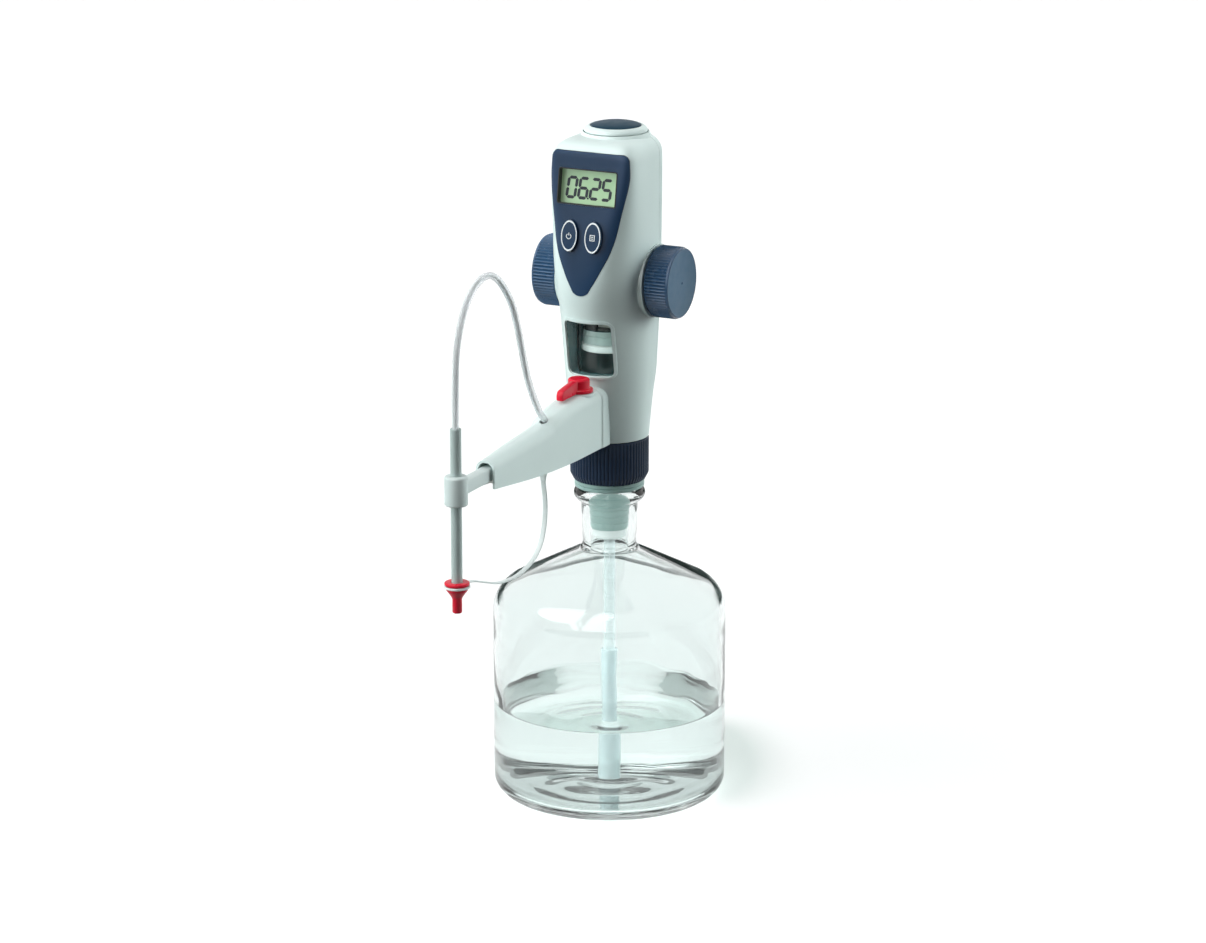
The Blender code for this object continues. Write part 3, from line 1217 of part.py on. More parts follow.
def make_valve_lever():
    centre = (0.0, LEVER_Y)
    flange_z = SEAT_Z + RUN
    flange_top = flange_z + LEVER_FLANGE
    profile = [(0.0, LEVER_TOP_Z), (LEVER_HUB_RADIUS - LEVER_EDGE, LEVER_TOP_Z),
               (LEVER_HUB_RADIUS, LEVER_TOP_Z - LEVER_EDGE),
               (LEVER_HUB_RADIUS, flange_top), (LEVER_FLANGE_RADIUS, flange_top), (LEVER_FLANGE_RADIUS, flange_z),
               (0.0, flange_z)]
    lever = turned("valve_lever", profile, red_plastic(), centre)
    join(lever, lever_fin(flange_z))
    bore_top = SPINDLE_TOP_Z + FIT
    cut(lever, disc("lever_bore", SPINDLE_RADIUS + FIT, flange_z - WALL, bore_top, red_plastic(), centre,
                    segments=14))
    disc("valve_spindle", SPINDLE_RADIUS, SPINDLE_BOTTOM_Z, SPINDLE_TOP_Z, steel(), centre, segments=14)


def lever_fin(bottom):
    """Pointer of the lever: a narrow wall that falls towards its rounded tip."""
    outline = [(LEVER_Y, bottom), (LEVER_Y, LEVER_TOP_Z - LEVER_CROWN),
               (LEVER_TIP_Y + 2 * LEVER_NOSE, LEVER_TIP_Z + LEVER_CROWN)]
    outline += arc((LEVER_TIP_Y + LEVER_NOSE, LEVER_TIP_Z - LEVER_NOSE), LEVER_NOSE, 90, 180, 3)
    outline.append((LEVER_TIP_Y, bottom))
    turn = Matrix.Rotation(math.pi / 2, 4, "Z") @ Matrix.Rotation(math.pi / 2, 4, "X")
    return flat("lever_fin", outline, LEVER_WIDTH, turn, red_plastic())


# Slide bar, guide tube and cap
def make_slide_bar():
    centre = (0.0, TUBE_Y)
    ring = tube_ring("slide_bar", RING_RADIUS, TUBE_RADIUS + FIT, RING_BOTTOM_Z, RING_BOTTOM_Z + RING_HEIGHT,
                     grey_plastic(), centre)
    join(ring, block("bar", (-BAR_HALF_WIDTH, TUBE_Y + TUBE_RADIUS + 2 * RUN, BAR_BOTTOM_Z),
                     (BAR_HALF_WIDTH, BAR_REAR_Y, BAR_BOTTOM_Z + BAR_HEIGHT), grey_plastic()))
    bottom = BAR_BOTTOM_Z - FIT - GUIDE_FLOOR
    top = BAR_BOTTOM_Z + GUIDE_LIP
    loops = []
    for y in (GUIDE_REAR_Y, GUIDE_FRONT_Y):
        half = arm_half_width(y) - ARM_WALL - FIT
        loops.append([Vector((x, y, z)) for x, z in
                      ((half, bottom), (half, top), (-half, top), (-half, bottom))])
    guide = lofted("bar_guide", loops, acetal())
    cut(guide, block("bar_channel", (-BAR_HALF_WIDTH - FIT, ARM_END_Y, BAR_BOTTOM_Z - FIT),
                     (BAR_HALF_WIDTH + FIT, BAR_REAR_Y, BAR_BOTTOM_Z + BAR_HEIGHT + FIT), acetal()))


def make_guide_tube():
    centre = (0.0, TUBE_Y)
    tube_ring("guide_tube", TUBE_RADIUS, TUBE_BORE, TUBE_BOTTOM_Z, TUBE_TOP_Z, grey_plastic(), centre, segments=16)
    tip_bottom = TUBE_BOTTOM_Z - TIP_REACH
    tube_ring("discharge_tip", TIP_RADIUS, TIP_BORE, tip_bottom, tip_bottom + TIP_LENGTH, fluoropolymer(), centre,
              segments=12)


def make_screw_cap():
    groove_top = CAP_TOP_Z - CAP_FLANGE
    groove_bottom = groove_top - CAP_GROOVE
    cone_top = groove_bottom - CAP_SKIRT
    nose_top = cone_top - CAP_CONE
    bottom = nose_top - CAP_NOSE
    bore = TUBE_RADIUS + FIT
    tip_bore = TIP_RADIUS + FIT
    bore_bottom = TUBE_BOTTOM_Z - FIT
    well = TUBE_BOTTOM_Z - TIP_REACH - FIT
    profile = [
        (0.0, well), (tip_bore, well), (tip_bore, bore_bottom), (bore, bore_bottom),
        (bore, CAP_TOP_Z), (CAP_FLANGE_RADIUS, CAP_TOP_Z), (CAP_FLANGE_RADIUS, groove_top),
        (CAP_GROOVE_RADIUS, groove_top), (CAP_GROOVE_RADIUS, groove_bottom), (CAP_SKIRT_RADIUS, groove_bottom),
        (CAP_SKIRT_RADIUS, cone_top), (CAP_NOSE_RADIUS, nose_top), (CAP_NOSE_RADIUS, bottom),
        (0.0, bottom)]
    turned("screw_cap", profile, red_plastic(), (0.0, TUBE_Y), segments=20)
    tube_ring("strap_ring", STRAP_RING_RADIUS, CAP_GROOVE_RADIUS + FIT, groove_bottom + RUN, groove_top - RUN,
              white_plastic(), (0.0, TUBE_Y))


# Hose and strap
def route_curve(route, first_y, last_y, step):
    """Evenly spaced points on a smooth curve through a route, between two of its y values."""
    distances = [0.0]
    for (y0, z0), (y1, z1) in zip(route, route[1:]):
        distances.append(distances[-1] + math.hypot(y1 - y0, z1 - z0))
    along_y = [(d, y) for d, (y, z) in zip(distances, route)]
    along_z = [(d, z) for d, (y, z) in zip(distances, route)]
    places = [point[0] for point in route]
    start = distances[places.index(first_y)]
    end = distances[places.index(last_y)]
    count = max(3, round((end - start) / step))
    spots = [start + (end - start) * index / count for index in range(count + 1)]
    return [Vector((0.0, smooth(along_y, spot), smooth(along_z, spot))) for spot in spots]


def with_stubs(points, start_gap, end_gap, stub, start=None, end=None):
    """Draw both ends back by a gap and run them straight for one stub along the given directions."""
    start = (points[1] - points[0]).normalized() if start is None else start
    end = (points[-1] - points[-2]).normalized() if end is None else end
    first, last = points[0] + start * start_gap, points[-1] - end * end_gap
    return [first, first + start * stub] + points[1:-1] + [last - end * stub, last]


def hose_run(name, points):
    curve = bpy.data.curves.new(name, "CURVE")
    curve.dimensions = "3D"
    curve.bevel_depth = HOSE_RADIUS
    curve.bevel_resolution = 2
    curve.use_fill_caps = True
    spline = curve.splines.new("POLY")
    spline.points.add(len(points) - 1)
    for point, place in zip(spline.points, points):
        point.co = (*place, 1.0)
    curve.materials.append(clear_plastic())
    PARTS.objects.link(bpy.data.objects.new(name, curve))


def make_hose():
    nipple_top = BEAM_TOP_Z + FIT + NIPPLE_HEIGHT
    tube_ring("hose_fitting", NIPPLE_RADIUS, TIP_BORE, BEAM_TOP_Z + FIT, nipple_top, fluoropolymer(),
              (0.0, NIPPLE_Y), segments=14)
    route = [(NIPPLE_Y, nipple_top + FIT)] + above_foot(HOSE_ROUTE) + [(HOSE_END_Y, HOSE_END_Z)]
    rise = route_curve(route, NIPPLE_Y, HOSE_SPLIT_Y, HOSE_STEP)
    drop = route_curve(route, HOSE_SPLIT_Y, HOSE_END_Y, HOSE_STEP)
    up, down = Vector((0.0, 0.0, 1.0)), Vector((0.0, 0.0, -1.0))
    over = (drop[1] - rise[-2]).normalized()
    hose_run("hose_rise", with_stubs(rise, 0.0, FIT / 2, HOSE_RADIUS, up, over))
    hose_run("hose_drop", with_stubs(drop, FIT / 2, 0.0, HOSE_RADIUS, over, down))


def strap_run(name, points):
    """Flat band, wide across X, along a run of points."""
    loops = []
    for index, place in enumerate(points):
        along = (points[min(index + 1, len(points) - 1)] - points[max(index - 1, 0)]).normalized()
        out = Vector((0.0, -along.z, along.y)) * STRAP_THICKNESS / 2
        side = Vector((STRAP_WIDTH / 2, 0.0, 0.0))
        loops.append([place + side + out, place - side + out, place - side - out, place + side - out])
    lofted(name, loops, white_plastic())


def make_strap():
    half_strap = STRAP_WIDTH / 2
    flare_z = ANCHOR_BOTTOM_Z + ANCHOR_TAPER
    right = [(half_strap, ANCHOR_BOTTOM_Z), (ANCHOR_HALF_WIDTH, flare_z), (ANCHOR_HALF_WIDTH, ANCHOR_TOP_Z)]
    outline = right + [(-x, z) for x, z in reversed(right)]
    anchor_middle = BEAM_FRONT_Y - FIT - ANCHOR_THICKNESS / 2
    flat("strap_anchor", outline, ANCHOR_THICKNESS, facing_front(anchor_middle), white_plastic())
    ring_edge = TUBE_Y + STRAP_RING_RADIUS + FIT
    groove_middle = CAP_TOP_Z - CAP_FLANGE - CAP_GROOVE / 2
    route = [(anchor_middle, ANCHOR_BOTTOM_Z - FIT)] + above_foot(STRAP_ROUTE) + [(ring_edge, groove_middle)]
    stops = [anchor_middle, *STRAP_SPLITS_Y, ring_edge]
    for index in range(3):
        points = route_curve(route, stops[index], stops[index + 1], STRAP_STEP)
        first = 0.0 if index == 0 else FIT / 2
        last = 0.0 if index == 2 else FIT / 2
        strap_run("cap_strap_%d" % (index + 1), with_stubs(points, first, last, STRAP_THICKNESS))


# Cells
def make_cells():
    for name, side in (("cell_left", -1), ("cell_right", 1)):
        centre = (side * CELL_PITCH / 2, CELL_Y)
        top = CELL_BOTTOM_Z + CELL_LENGTH
        shoulder = top - CELL_NUB_HEIGHT
        profile = [(0.0, top), (CELL_NUB_RADIUS, top), (CELL_NUB_RADIUS, shoulder), (CELL_RADIUS, shoulder),
                   (CELL_RADIUS, CELL_BOTTOM_Z), (0.0, CELL_BOTTOM_Z)]
        turned(name, profile, material("cell_wrap", (0.12, 0.12, 0.13), 0.35, metallic=0.6), centre, segments=14)
    make_cell_tray()


def inner_back(x, z):
    """How far back the inside of the housing lies at a place across and up its rear wall."""
    power = back_squareness(z)
    share = abs(x) / (half_width(z) - WALL)
    return (back_reach(z) - WALL) * (1 - share**power) ** (1 / power)


def make_cell_tray():
    """Open box for the cells, with side lips that lie on the inside of the rear shell."""
    lip_reach = TRAY_HALF_WIDTH + COVER_MARGIN + TRAY_LIP
    back = inner_back(lip_reach, TRAY_BOTTOM_Z) - 2 * FIT
    tray = block("cell_tray", (-TRAY_HALF_WIDTH, TRAY_FRONT_Y, TRAY_BOTTOM_Z),
                 (TRAY_HALF_WIDTH, back, TRAY_TOP_Z), grey_plastic())
    join(tray, block("tray_lips", (-lip_reach, back - TRAY_LIP_THICKNESS, TRAY_BOTTOM_Z),
                     (lip_reach, back, TRAY_TOP_Z), grey_plastic()))
    inside = TRAY_HALF_WIDTH - TRAY_WALL
    cut(tray, block("tray_hollow", (-inside, TRAY_FRONT_Y + TRAY_WALL, TRAY_BOTTOM_Z + TRAY_WALL),
                    (inside, back + WALL, TRAY_TOP_Z - TRAY_WALL), grey_plastic()))


start_scene()
make_bottle()
make_neck_adapter()
make_collar_nut()
make_swivel_base()
make_filling_valve()
make_shells()
make_panel()
make_display()
make_keys()
make_top_key()
make_hand_wheels()
make_gears()
make_cylinder()
make_piston()
make_valve_block()
make_arm_cover()
make_valve_lever()
make_slide_bar()
make_guide_tube()
make_screw_cap()
make_hose()
make_strap()
make_cells()
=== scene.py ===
"""Bottle-top digital burette: the looks of a hand-driven titration instrument on its glass reagent bottle."""

import math

import bmesh
import bpy
from mathutils import Matrix, Vector, noise as wave


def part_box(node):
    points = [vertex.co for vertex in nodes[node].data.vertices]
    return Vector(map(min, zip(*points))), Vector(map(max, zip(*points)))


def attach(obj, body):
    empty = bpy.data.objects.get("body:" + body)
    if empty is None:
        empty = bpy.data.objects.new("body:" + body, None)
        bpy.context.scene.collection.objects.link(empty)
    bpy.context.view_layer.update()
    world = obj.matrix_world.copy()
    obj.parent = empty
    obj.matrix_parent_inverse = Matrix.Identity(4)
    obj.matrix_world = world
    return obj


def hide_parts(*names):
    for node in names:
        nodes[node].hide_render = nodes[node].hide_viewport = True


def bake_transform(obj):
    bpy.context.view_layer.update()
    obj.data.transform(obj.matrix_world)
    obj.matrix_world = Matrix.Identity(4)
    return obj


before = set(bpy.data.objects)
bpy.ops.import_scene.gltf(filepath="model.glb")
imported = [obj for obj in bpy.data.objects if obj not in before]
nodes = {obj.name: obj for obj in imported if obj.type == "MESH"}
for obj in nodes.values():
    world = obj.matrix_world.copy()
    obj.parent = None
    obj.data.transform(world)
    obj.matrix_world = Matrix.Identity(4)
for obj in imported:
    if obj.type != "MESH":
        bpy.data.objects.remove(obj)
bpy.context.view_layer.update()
scene = bpy.context.scene
scene.view_settings.view_transform = "Standard"

# Camera
# A long lens well back and a little above the instrument, turned to show its front, its right-hand wheel
# and the whole reach of the arm.
LENS_MM = 131.3
SENSOR_MM = 36.0
CAMERA_PLACE = Vector((1.2635, -2.6172, 1.0485))
CAMERA_AIM = Vector((-0.00401, -0.00193, 0.22854))
camera_data = bpy.data.cameras.new("product_view")
camera_data.lens = LENS_MM
camera_data.sensor_width = SENSOR_MM
camera = bpy.data.objects.new("product_view", camera_data)
camera.location = CAMERA_PLACE
camera.rotation_mode = "QUATERNION"
camera.rotation_quaternion = (CAMERA_AIM - CAMERA_PLACE).to_track_quat("-Z", "Y")
scene.collection.objects.link(camera)
scene.camera = camera


# Discharge hose
# Thin clear fluoropolymer hose that leaves the arm, loops up and over, and drops into the guide tube.
# It is pushed on a fitting in the arm and held at its other end by the guide tube alone.
HOSE_RADIUS = 0.0023
HOSE_SIDES = 20
HOSE_SPLIT = 12
PATH_STEP = 0.003
HOSE_ROUTE = [
    (-0.0962, 0.2841), (-0.0990, 0.2890), (-0.1070, 0.2970), (-0.1159, 0.3096), (-0.1231, 0.3222),
    (-0.1287, 0.3357), (-0.1343, 0.3518), (-0.1385, 0.3628), (-0.1455, 0.3777), (-0.1553, 0.3898),
    (-0.1651, 0.3985), (-0.1762, 0.4038), (-0.1874, 0.4045), (-0.1985, 0.4003), (-0.2097, 0.3916),
    (-0.2181, 0.3785), (-0.2228, 0.3652), (-0.2248, 0.3495), (-0.2255, 0.3333), (-0.2255, 0.3170),
    (-0.2255, 0.3020),
]


def material(name, roughness, **sockets):
    """A new node material with the given uniform values on its surface shader."""
    finish = bpy.data.materials.new(name)
    finish.use_nodes = True
    shader = finish.node_tree.nodes["Principled BSDF"]
    shader.inputs["Roughness"].default_value = roughness
    for socket, value in sockets.items():
        shader.inputs[socket.replace("_", " ")].default_value = value
    return finish, finish.node_tree, shader


def noise(tree, scale, detail=2.0, stretch=(1.0, 1.0, 1.0)):
    """Noise in metres over a piece, stretched along its axes."""
    place = tree.nodes.new("ShaderNodeTexCoord")
    fit = tree.nodes.new("ShaderNodeMapping")
    fit.inputs["Scale"].default_value = stretch
    grain = tree.nodes.new("ShaderNodeTexNoise")
    grain.inputs["Scale"].default_value = scale
    grain.inputs["Detail"].default_value = detail
    tree.links.new(place.outputs["Object"], fit.inputs["Vector"])
    tree.links.new(fit.outputs["Vector"], grain.inputs["Vector"])
    return grain.outputs["Fac"]


def vary(tree, factor, low, high, socket):
    """Lead a noise into a number socket, between two values."""
    spread = tree.nodes.new("ShaderNodeMapRange")
    spread.inputs["From Min"].default_value = 0.3
    spread.inputs["From Max"].default_value = 0.7
    spread.inputs["To Min"].default_value = low
    spread.inputs["To Max"].default_value = high
    tree.links.new(factor, spread.inputs["Value"])
    tree.links.new(spread.outputs["Result"], socket)


def tint(tree, factor, first, second, socket):
    """Lead a noise into a colour socket, between two colours."""
    ramp = tree.nodes.new("ShaderNodeValToRGB")
    ramp.color_ramp.elements[0].position = 0.3
    ramp.color_ramp.elements[0].color = (*first, 1.0)
    ramp.color_ramp.elements[1].position = 0.7
    ramp.color_ramp.elements[1].color = (*second, 1.0)
    tree.links.new(factor, ramp.inputs["Fac"])
    tree.links.new(ramp.outputs["Color"], socket)


def relief(tree, factor, depth, strength, shader):
    """Lead a noise into the surface's relief, with its depth in metres."""
    bump = tree.nodes.new("ShaderNodeBump")
    bump.inputs["Distance"].default_value = depth
    bump.inputs["Strength"].default_value = strength
    tree.links.new(factor, bump.inputs["Height"])
    tree.links.new(bump.outputs["Normal"], shader.inputs["Normal"])


def smooth_path(route, step):
    """Even points along a smooth curve through (y, z) route points in the plane x = 0."""
    points = []
    for index in range(len(route) - 1):
        before = Vector(route[max(index - 1, 0)])
        start, end = Vector(route[index]), Vector(route[index + 1])
        after = Vector(route[min(index + 2, len(route) - 1)])
        count = max(2, round((end - start).length / step))
        for turn in range(count):
            t = turn / count
            spot = 0.5 * (2 * start + (end - before) * t + (2 * before - 5 * start + 4 * end - after) * t**2
                          + (3 * start - before - 3 * end + after) * t**3)
            points.append(Vector((0.0, spot.x, spot.y)))
    points.append(Vector((0.0, *route[-1])))
    return points


def piece(name, shape, finish, sharp_degrees=40):
    """A finished mesh piece from a bmesh, smooth but for its sharp edges."""
    bmesh.ops.remove_doubles(shape, verts=shape.verts, dist=1e-7)
    bmesh.ops.recalc_face_normals(shape, faces=shape.faces)
    mesh = bpy.data.meshes.new(name)
    shape.to_mesh(mesh)
    shape.free()
    mesh.materials.append(finish)
    mesh.shade_smooth()
    mesh.set_sharp_from_angle(angle=math.radians(sharp_degrees))
    made = bpy.data.objects.new(name, mesh)
    scene.collection.objects.link(made)
    return made


def skinned(loops, capped=True, shape=None):
    """Skin a run of loops with equal point counts, as a new shape or added to one."""
    if shape is None:
        shape = bmesh.new()
    rings = [[shape.verts.new(point) for point in loop] for loop in loops]
    count = len(loops[0])
    for lower, upper in zip(rings, rings[1:]):
        for index in range(count):
            after = (index + 1) % count
            shape.faces.new((lower[index], lower[after], upper[after], upper[index]))
    if capped:
        shape.faces.new(rings[0])
        shape.faces.new(rings[-1])
    return shape


def swept(path, section):
    """Sweep a closed (across, out) section along a path in the plane x = 0."""
    loops = []
    for index, place in enumerate(path):
        along = (path[min(index + 1, len(path) - 1)] - path[max(index - 1, 0)]).normalized()
        out = Vector((0.0, -along.z, along.y))
        loops.append([place + Vector((x, 0.0, 0.0)) + out * lift for x, lift in section])
    return skinned(loops)


def oval(half_across, half_up, count=48):
    """Even points round an oval, as (across, up)."""
    turn = 2 * math.pi / count
    return [(half_across * math.cos(turn * step), half_up * math.sin(turn * step)) for step in range(count)]


hose_finish, tree, shader = material("hose_fluoropolymer", 0.10, Transmission_Weight=0.62, IOR=1.25)
tint(tree, noise(tree, 30.0), (0.93, 0.95, 0.97), (0.97, 0.98, 0.99), shader.inputs["Base Color"])
vary(tree, noise(tree, 80.0), 0.10, 0.20, shader.inputs["Roughness"])

hose_paths = [smooth_path(route, PATH_STEP)
              for route in (HOSE_ROUTE[:HOSE_SPLIT + 1], HOSE_ROUTE[HOSE_SPLIT:])]
hose_runs = []
for path, name in zip(hose_paths, ("hose_rise", "hose_drop")):
    run = piece(name + "_hose", swept(path, oval(HOSE_RADIUS, HOSE_RADIUS, HOSE_SIDES)), hose_finish)
    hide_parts(name)
    hose_runs.append(run)
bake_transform(hose_runs[0])
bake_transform(hose_runs[1])


# Cap strap
# Flat moulded strap that keeps the screw cap on the arm. Its root hooks under the arm, its end is a ring that
# snaps in the cap's groove, and the band hangs in a slack bow between them.
STRAP_WIDTH = 0.0035
STRAP_THICKNESS = 0.0011
STRAP_ROUNDING = 0.0004
STRAP_CUTS = (6, 10)
STRAP_ROUTE = [
    (-0.1014, 0.2472), (-0.1003, 0.2420), (-0.0988, 0.2339), (-0.0989, 0.2235), (-0.1012, 0.2137),
    (-0.1065, 0.2046), (-0.1155, 0.1980), (-0.1273, 0.1943), (-0.1420, 0.1928), (-0.1579, 0.1938),
    (-0.1723, 0.1964), (-0.1893, 0.2019), (-0.2040, 0.2066), (-0.2166, 0.2089),
]


def band_section(width, thickness, rounding):
    """Rounded flat section of a moulded band."""
    across, out = width / 2 - rounding, thickness / 2 - rounding
    points = []
    for corner, (x, y) in enumerate([(across, out), (-across, out), (-across, -out), (across, -out)]):
        for step in range(4):
            angle = math.radians(90 * corner + 30 * step)
            points.append((x + rounding * math.cos(angle), y + rounding * math.sin(angle)))
    return points


def moulded(name, colour, roughness, grain=1400.0, grain_depth=0.00004, mottle=0.03, **sockets):
    """Injection-moulded plastic: a fine spark-eroded grain and a very slight drift of colour and gloss."""
    finish, tree, shader = material(name, roughness, **sockets)
    drift = noise(tree, 35.0, 3.0)
    darker = tuple(channel * (1 - mottle) for channel in colour)
    lighter = tuple(min(1.0, channel * (1 + mottle)) for channel in colour)
    tint(tree, drift, darker, lighter, shader.inputs["Base Color"])
    vary(tree, noise(tree, 160.0, 4.0), roughness * 0.88, roughness * 1.1, shader.inputs["Roughness"])
    relief(tree, noise(tree, grain, 2.0), grain_depth, 0.35, shader)
    return finish


def nearest(path, spot):
    """Index of the path's point nearest to a (y, z) route point."""
    return min(range(len(path)), key=lambda index: (path[index].yz - Vector(spot)).length)


strap_finish = moulded("strap_polypropylene", (0.78, 0.83, 0.82), 0.42)
strap_path = smooth_path(STRAP_ROUTE, PATH_STEP)
strap_stops = [0, *(nearest(strap_path, STRAP_ROUTE[cut]) for cut in STRAP_CUTS), len(strap_path) - 1]
strap_section = band_section(STRAP_WIDTH, STRAP_THICKNESS, STRAP_ROUNDING)
for index, (holder, follower) in enumerate([("instrument", "slider"), ("slider", "tube"), ("tube", "cap")]):
    path = strap_path[strap_stops[index]:strap_stops[index + 1] + 1]
    band = piece("strap_band_%d" % (index + 1), swept(path, strap_section), strap_finish)
    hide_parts("cap_strap_%d" % (index + 1))
    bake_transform(band)

# Floor and light
# A white floor and surround that glow only where looked at, soft fills from two sides and a broad key light. A
# soft box and dark cards draw the glass and the gloss, and veils give the clear bottle a pale shadow.
FLOOR_HALF = 6.0
FLOOR_DROP = 0.0002
FLOOR_GLOW = 0.47
FLOOR_SEEN = (0.62, 0.62, 0.62)
FLOOR_STRAY = (0.05, 0.05, 0.05)
FILL_AXIS = Vector((0.73, 0.68, 0.0))
FILL_EDGE = 0.80
FILL_STRENGTH = 8.6
FILL_ELSEWHERE = 0.02
FILL_COLOUR = (0.90, 1.0, 0.99)
KEY_STRENGTH = 2.2
KEY_SPREAD = math.radians(55)
KEY_DIRECTION = Vector((0.50, 0.55, -1.50))
BOX_STRENGTH = 3.5
CARD_COLOUR = (0.060, 0.085, 0.080, 1.0)
VEIL_COLOUR = (0.57, 0.69, 0.65, 1.0)
CARD_CORNERS = {
    "front_card": [(1.60, -0.75, 0.06), (-0.55, -0.75, 0.06), (-0.55, -0.75, 0.36), (1.60, -0.75, 0.36)],
    "back_card": [(0.75, 0.90, 0.01), (-0.75, 0.90, 0.01), (-0.75, 0.90, 0.28), (0.75, 0.90, 0.28)],
}
BOX_CORNERS = [(0.75, -1.00, 0.55), (0.05, -1.15, 0.55), (0.05, -0.75, 1.15), (0.75, -0.60, 1.15)]
SHADES = [(0.0, 0.0, 0.0010, 0.074, 0.074), (0.062, 0.048, 0.030, 0.095, 0.040),
          (0.062, 0.048, 0.034, 0.092, 0.038), (0.062, 0.048, 0.038, 0.090, 0.036)]


def node(tree, kind, operation=None):
    made = tree.nodes.new("ShaderNode" + kind)
    if operation:
        made.operation = operation
    return made


def looked_at(tree):
    """One where the camera sees a surface straight, mirrored or through glass, and zero for stray light."""
    seen = node(tree, "LightPath")
    result = seen.outputs["Is Camera Ray"]
    for way in ("Is Glossy Ray", "Is Transmission Ray"):
        either = node(tree, "Math", "MAXIMUM")
        tree.links.new(result, either.inputs[0])
        tree.links.new(seen.outputs[way], either.inputs[1])
        result = either.outputs[0]
    return result


def bare_material(name, kind):
    """A new material whose surface is one plain shader."""
    finish = bpy.data.materials.new(name)
    finish.use_nodes = True
    tree = finish.node_tree
    tree.nodes.remove(tree.nodes["Principled BSDF"])
    shader = node(tree, kind)
    tree.links.new(shader.outputs[0], tree.nodes["Material Output"].inputs["Surface"])
    return finish, tree, shader


floor_shape = bmesh.new()
bmesh.ops.create_grid(floor_shape, x_segments=1, y_segments=1, size=FLOOR_HALF)
floor_finish, tree, both = bare_material("floor_white", "AddShader")
matte = node(tree, "BsdfDiffuse")
glow = node(tree, "Emission")
gain = node(tree, "Math", "MULTIPLY")
gain.inputs[1].default_value = FLOOR_GLOW
seen_straight = looked_at(tree)
tint(tree, seen_straight, FLOOR_STRAY, FLOOR_SEEN, matte.inputs["Color"])
tree.links.new(seen_straight, gain.inputs[0])
tree.links.new(gain.outputs[0], glow.inputs["Strength"])
tree.links.new(matte.outputs[0], both.inputs[0])
tree.links.new(glow.outputs[0], both.inputs[1])
floor = piece("floor", floor_shape, floor_finish)
floor.location.z = -FLOOR_DROP

world = bpy.data.worlds.new("white_surround")
scene.world = world
world.use_nodes = True
tree = world.node_tree
surround = tree.nodes["Background"]
seen_straight = looked_at(tree)
tint(tree, seen_straight, FILL_COLOUR, (1.0, 1.0, 1.0), surround.inputs["Color"])
way = node(tree, "TexCoord")
lean = node(tree, "VectorMath", "DOT_PRODUCT")
lean.inputs[1].default_value = FILL_AXIS
tree.links.new(way.outputs["Generated"], lean.inputs[0])
either_side = node(tree, "Math", "ABSOLUTE")
tree.links.new(lean.outputs["Value"], either_side.inputs[0])
fill = node(tree, "MapRange")
fill.inputs["From Min"].default_value = FILL_EDGE
fill.inputs["To Min"].default_value = FILL_ELSEWHERE
fill.inputs["To Max"].default_value = FILL_STRENGTH
tree.links.new(either_side.outputs[0], fill.inputs["Value"])
level = node(tree, "MapRange")
tree.links.new(seen_straight, level.inputs["Value"])
tree.links.new(fill.outputs["Result"], level.inputs["To Min"])
tree.links.new(level.outputs["Result"], surround.inputs["Strength"])

key_data = bpy.data.lights.new("key_light", "SUN")
key_data.energy = KEY_STRENGTH
key_data.angle = KEY_SPREAD
key_light = bpy.data.objects.new("key_light", key_data)
key_light.rotation_mode = "QUATERNION"
key_light.rotation_quaternion = KEY_DIRECTION.to_track_quat("-Z", "Y")
scene.collection.objects.link(key_light)

view_along = CAMERA_AIM - CAMERA_PLACE
view_along.z = 0.0
view_along.normalize()
view_across = Vector((-view_along.y, view_along.x, 0.0))


def in_view(across, along, height):
    """A place from its distances to the view's left, away from the camera and up."""
    return view_across * across + view_along * along + Vector((0.0, 0.0, height))


def sheet(name, corners, finish):
    """A flat sheet that only glass and gloss see."""
    shape = bmesh.new()
    shape.faces.new([shape.verts.new(in_view(*corner)) for corner in corners])
    made = piece(name, shape, finish)
    made.visible_camera = False
    made.visible_shadow = False
    made.visible_diffuse = False


card_finish, tree, shader = material("dark_card", 0.9)
shader.inputs["Base Color"].default_value = CARD_COLOUR
for name, corners in CARD_CORNERS.items():
    sheet(name, corners, card_finish)
box_finish, tree, shader = bare_material("soft_box", "Emission")
shader.inputs["Strength"].default_value = BOX_STRENGTH
sheet("soft_box", BOX_CORNERS, box_finish)

shade_finish, tree, shader = bare_material("glass_shade", "BsdfTransparent")
shader.inputs["Color"].default_value = VEIL_COLOUR
view_turn = Matrix.Rotation(math.atan2(view_along.y, view_along.x), 4, "Z")
for index, (right, back, height, half_depth, half_breadth) in enumerate(SHADES):
    place = Matrix.Translation(in_view(-right, back, height)) @ view_turn
    spread = Matrix.Diagonal((half_depth, half_breadth, 1.0, 1.0))
    shade_shape = bmesh.new()
    bmesh.ops.create_circle(shade_shape, cap_ends=True, segments=48, radius=1.0, matrix=place @ spread)
    shade = piece("bottle_shade_%d" % (index + 1), shade_shape, shade_finish)
    shade.visible_camera = False
    shade.visible_glossy = False
    shade.visible_transmission = False


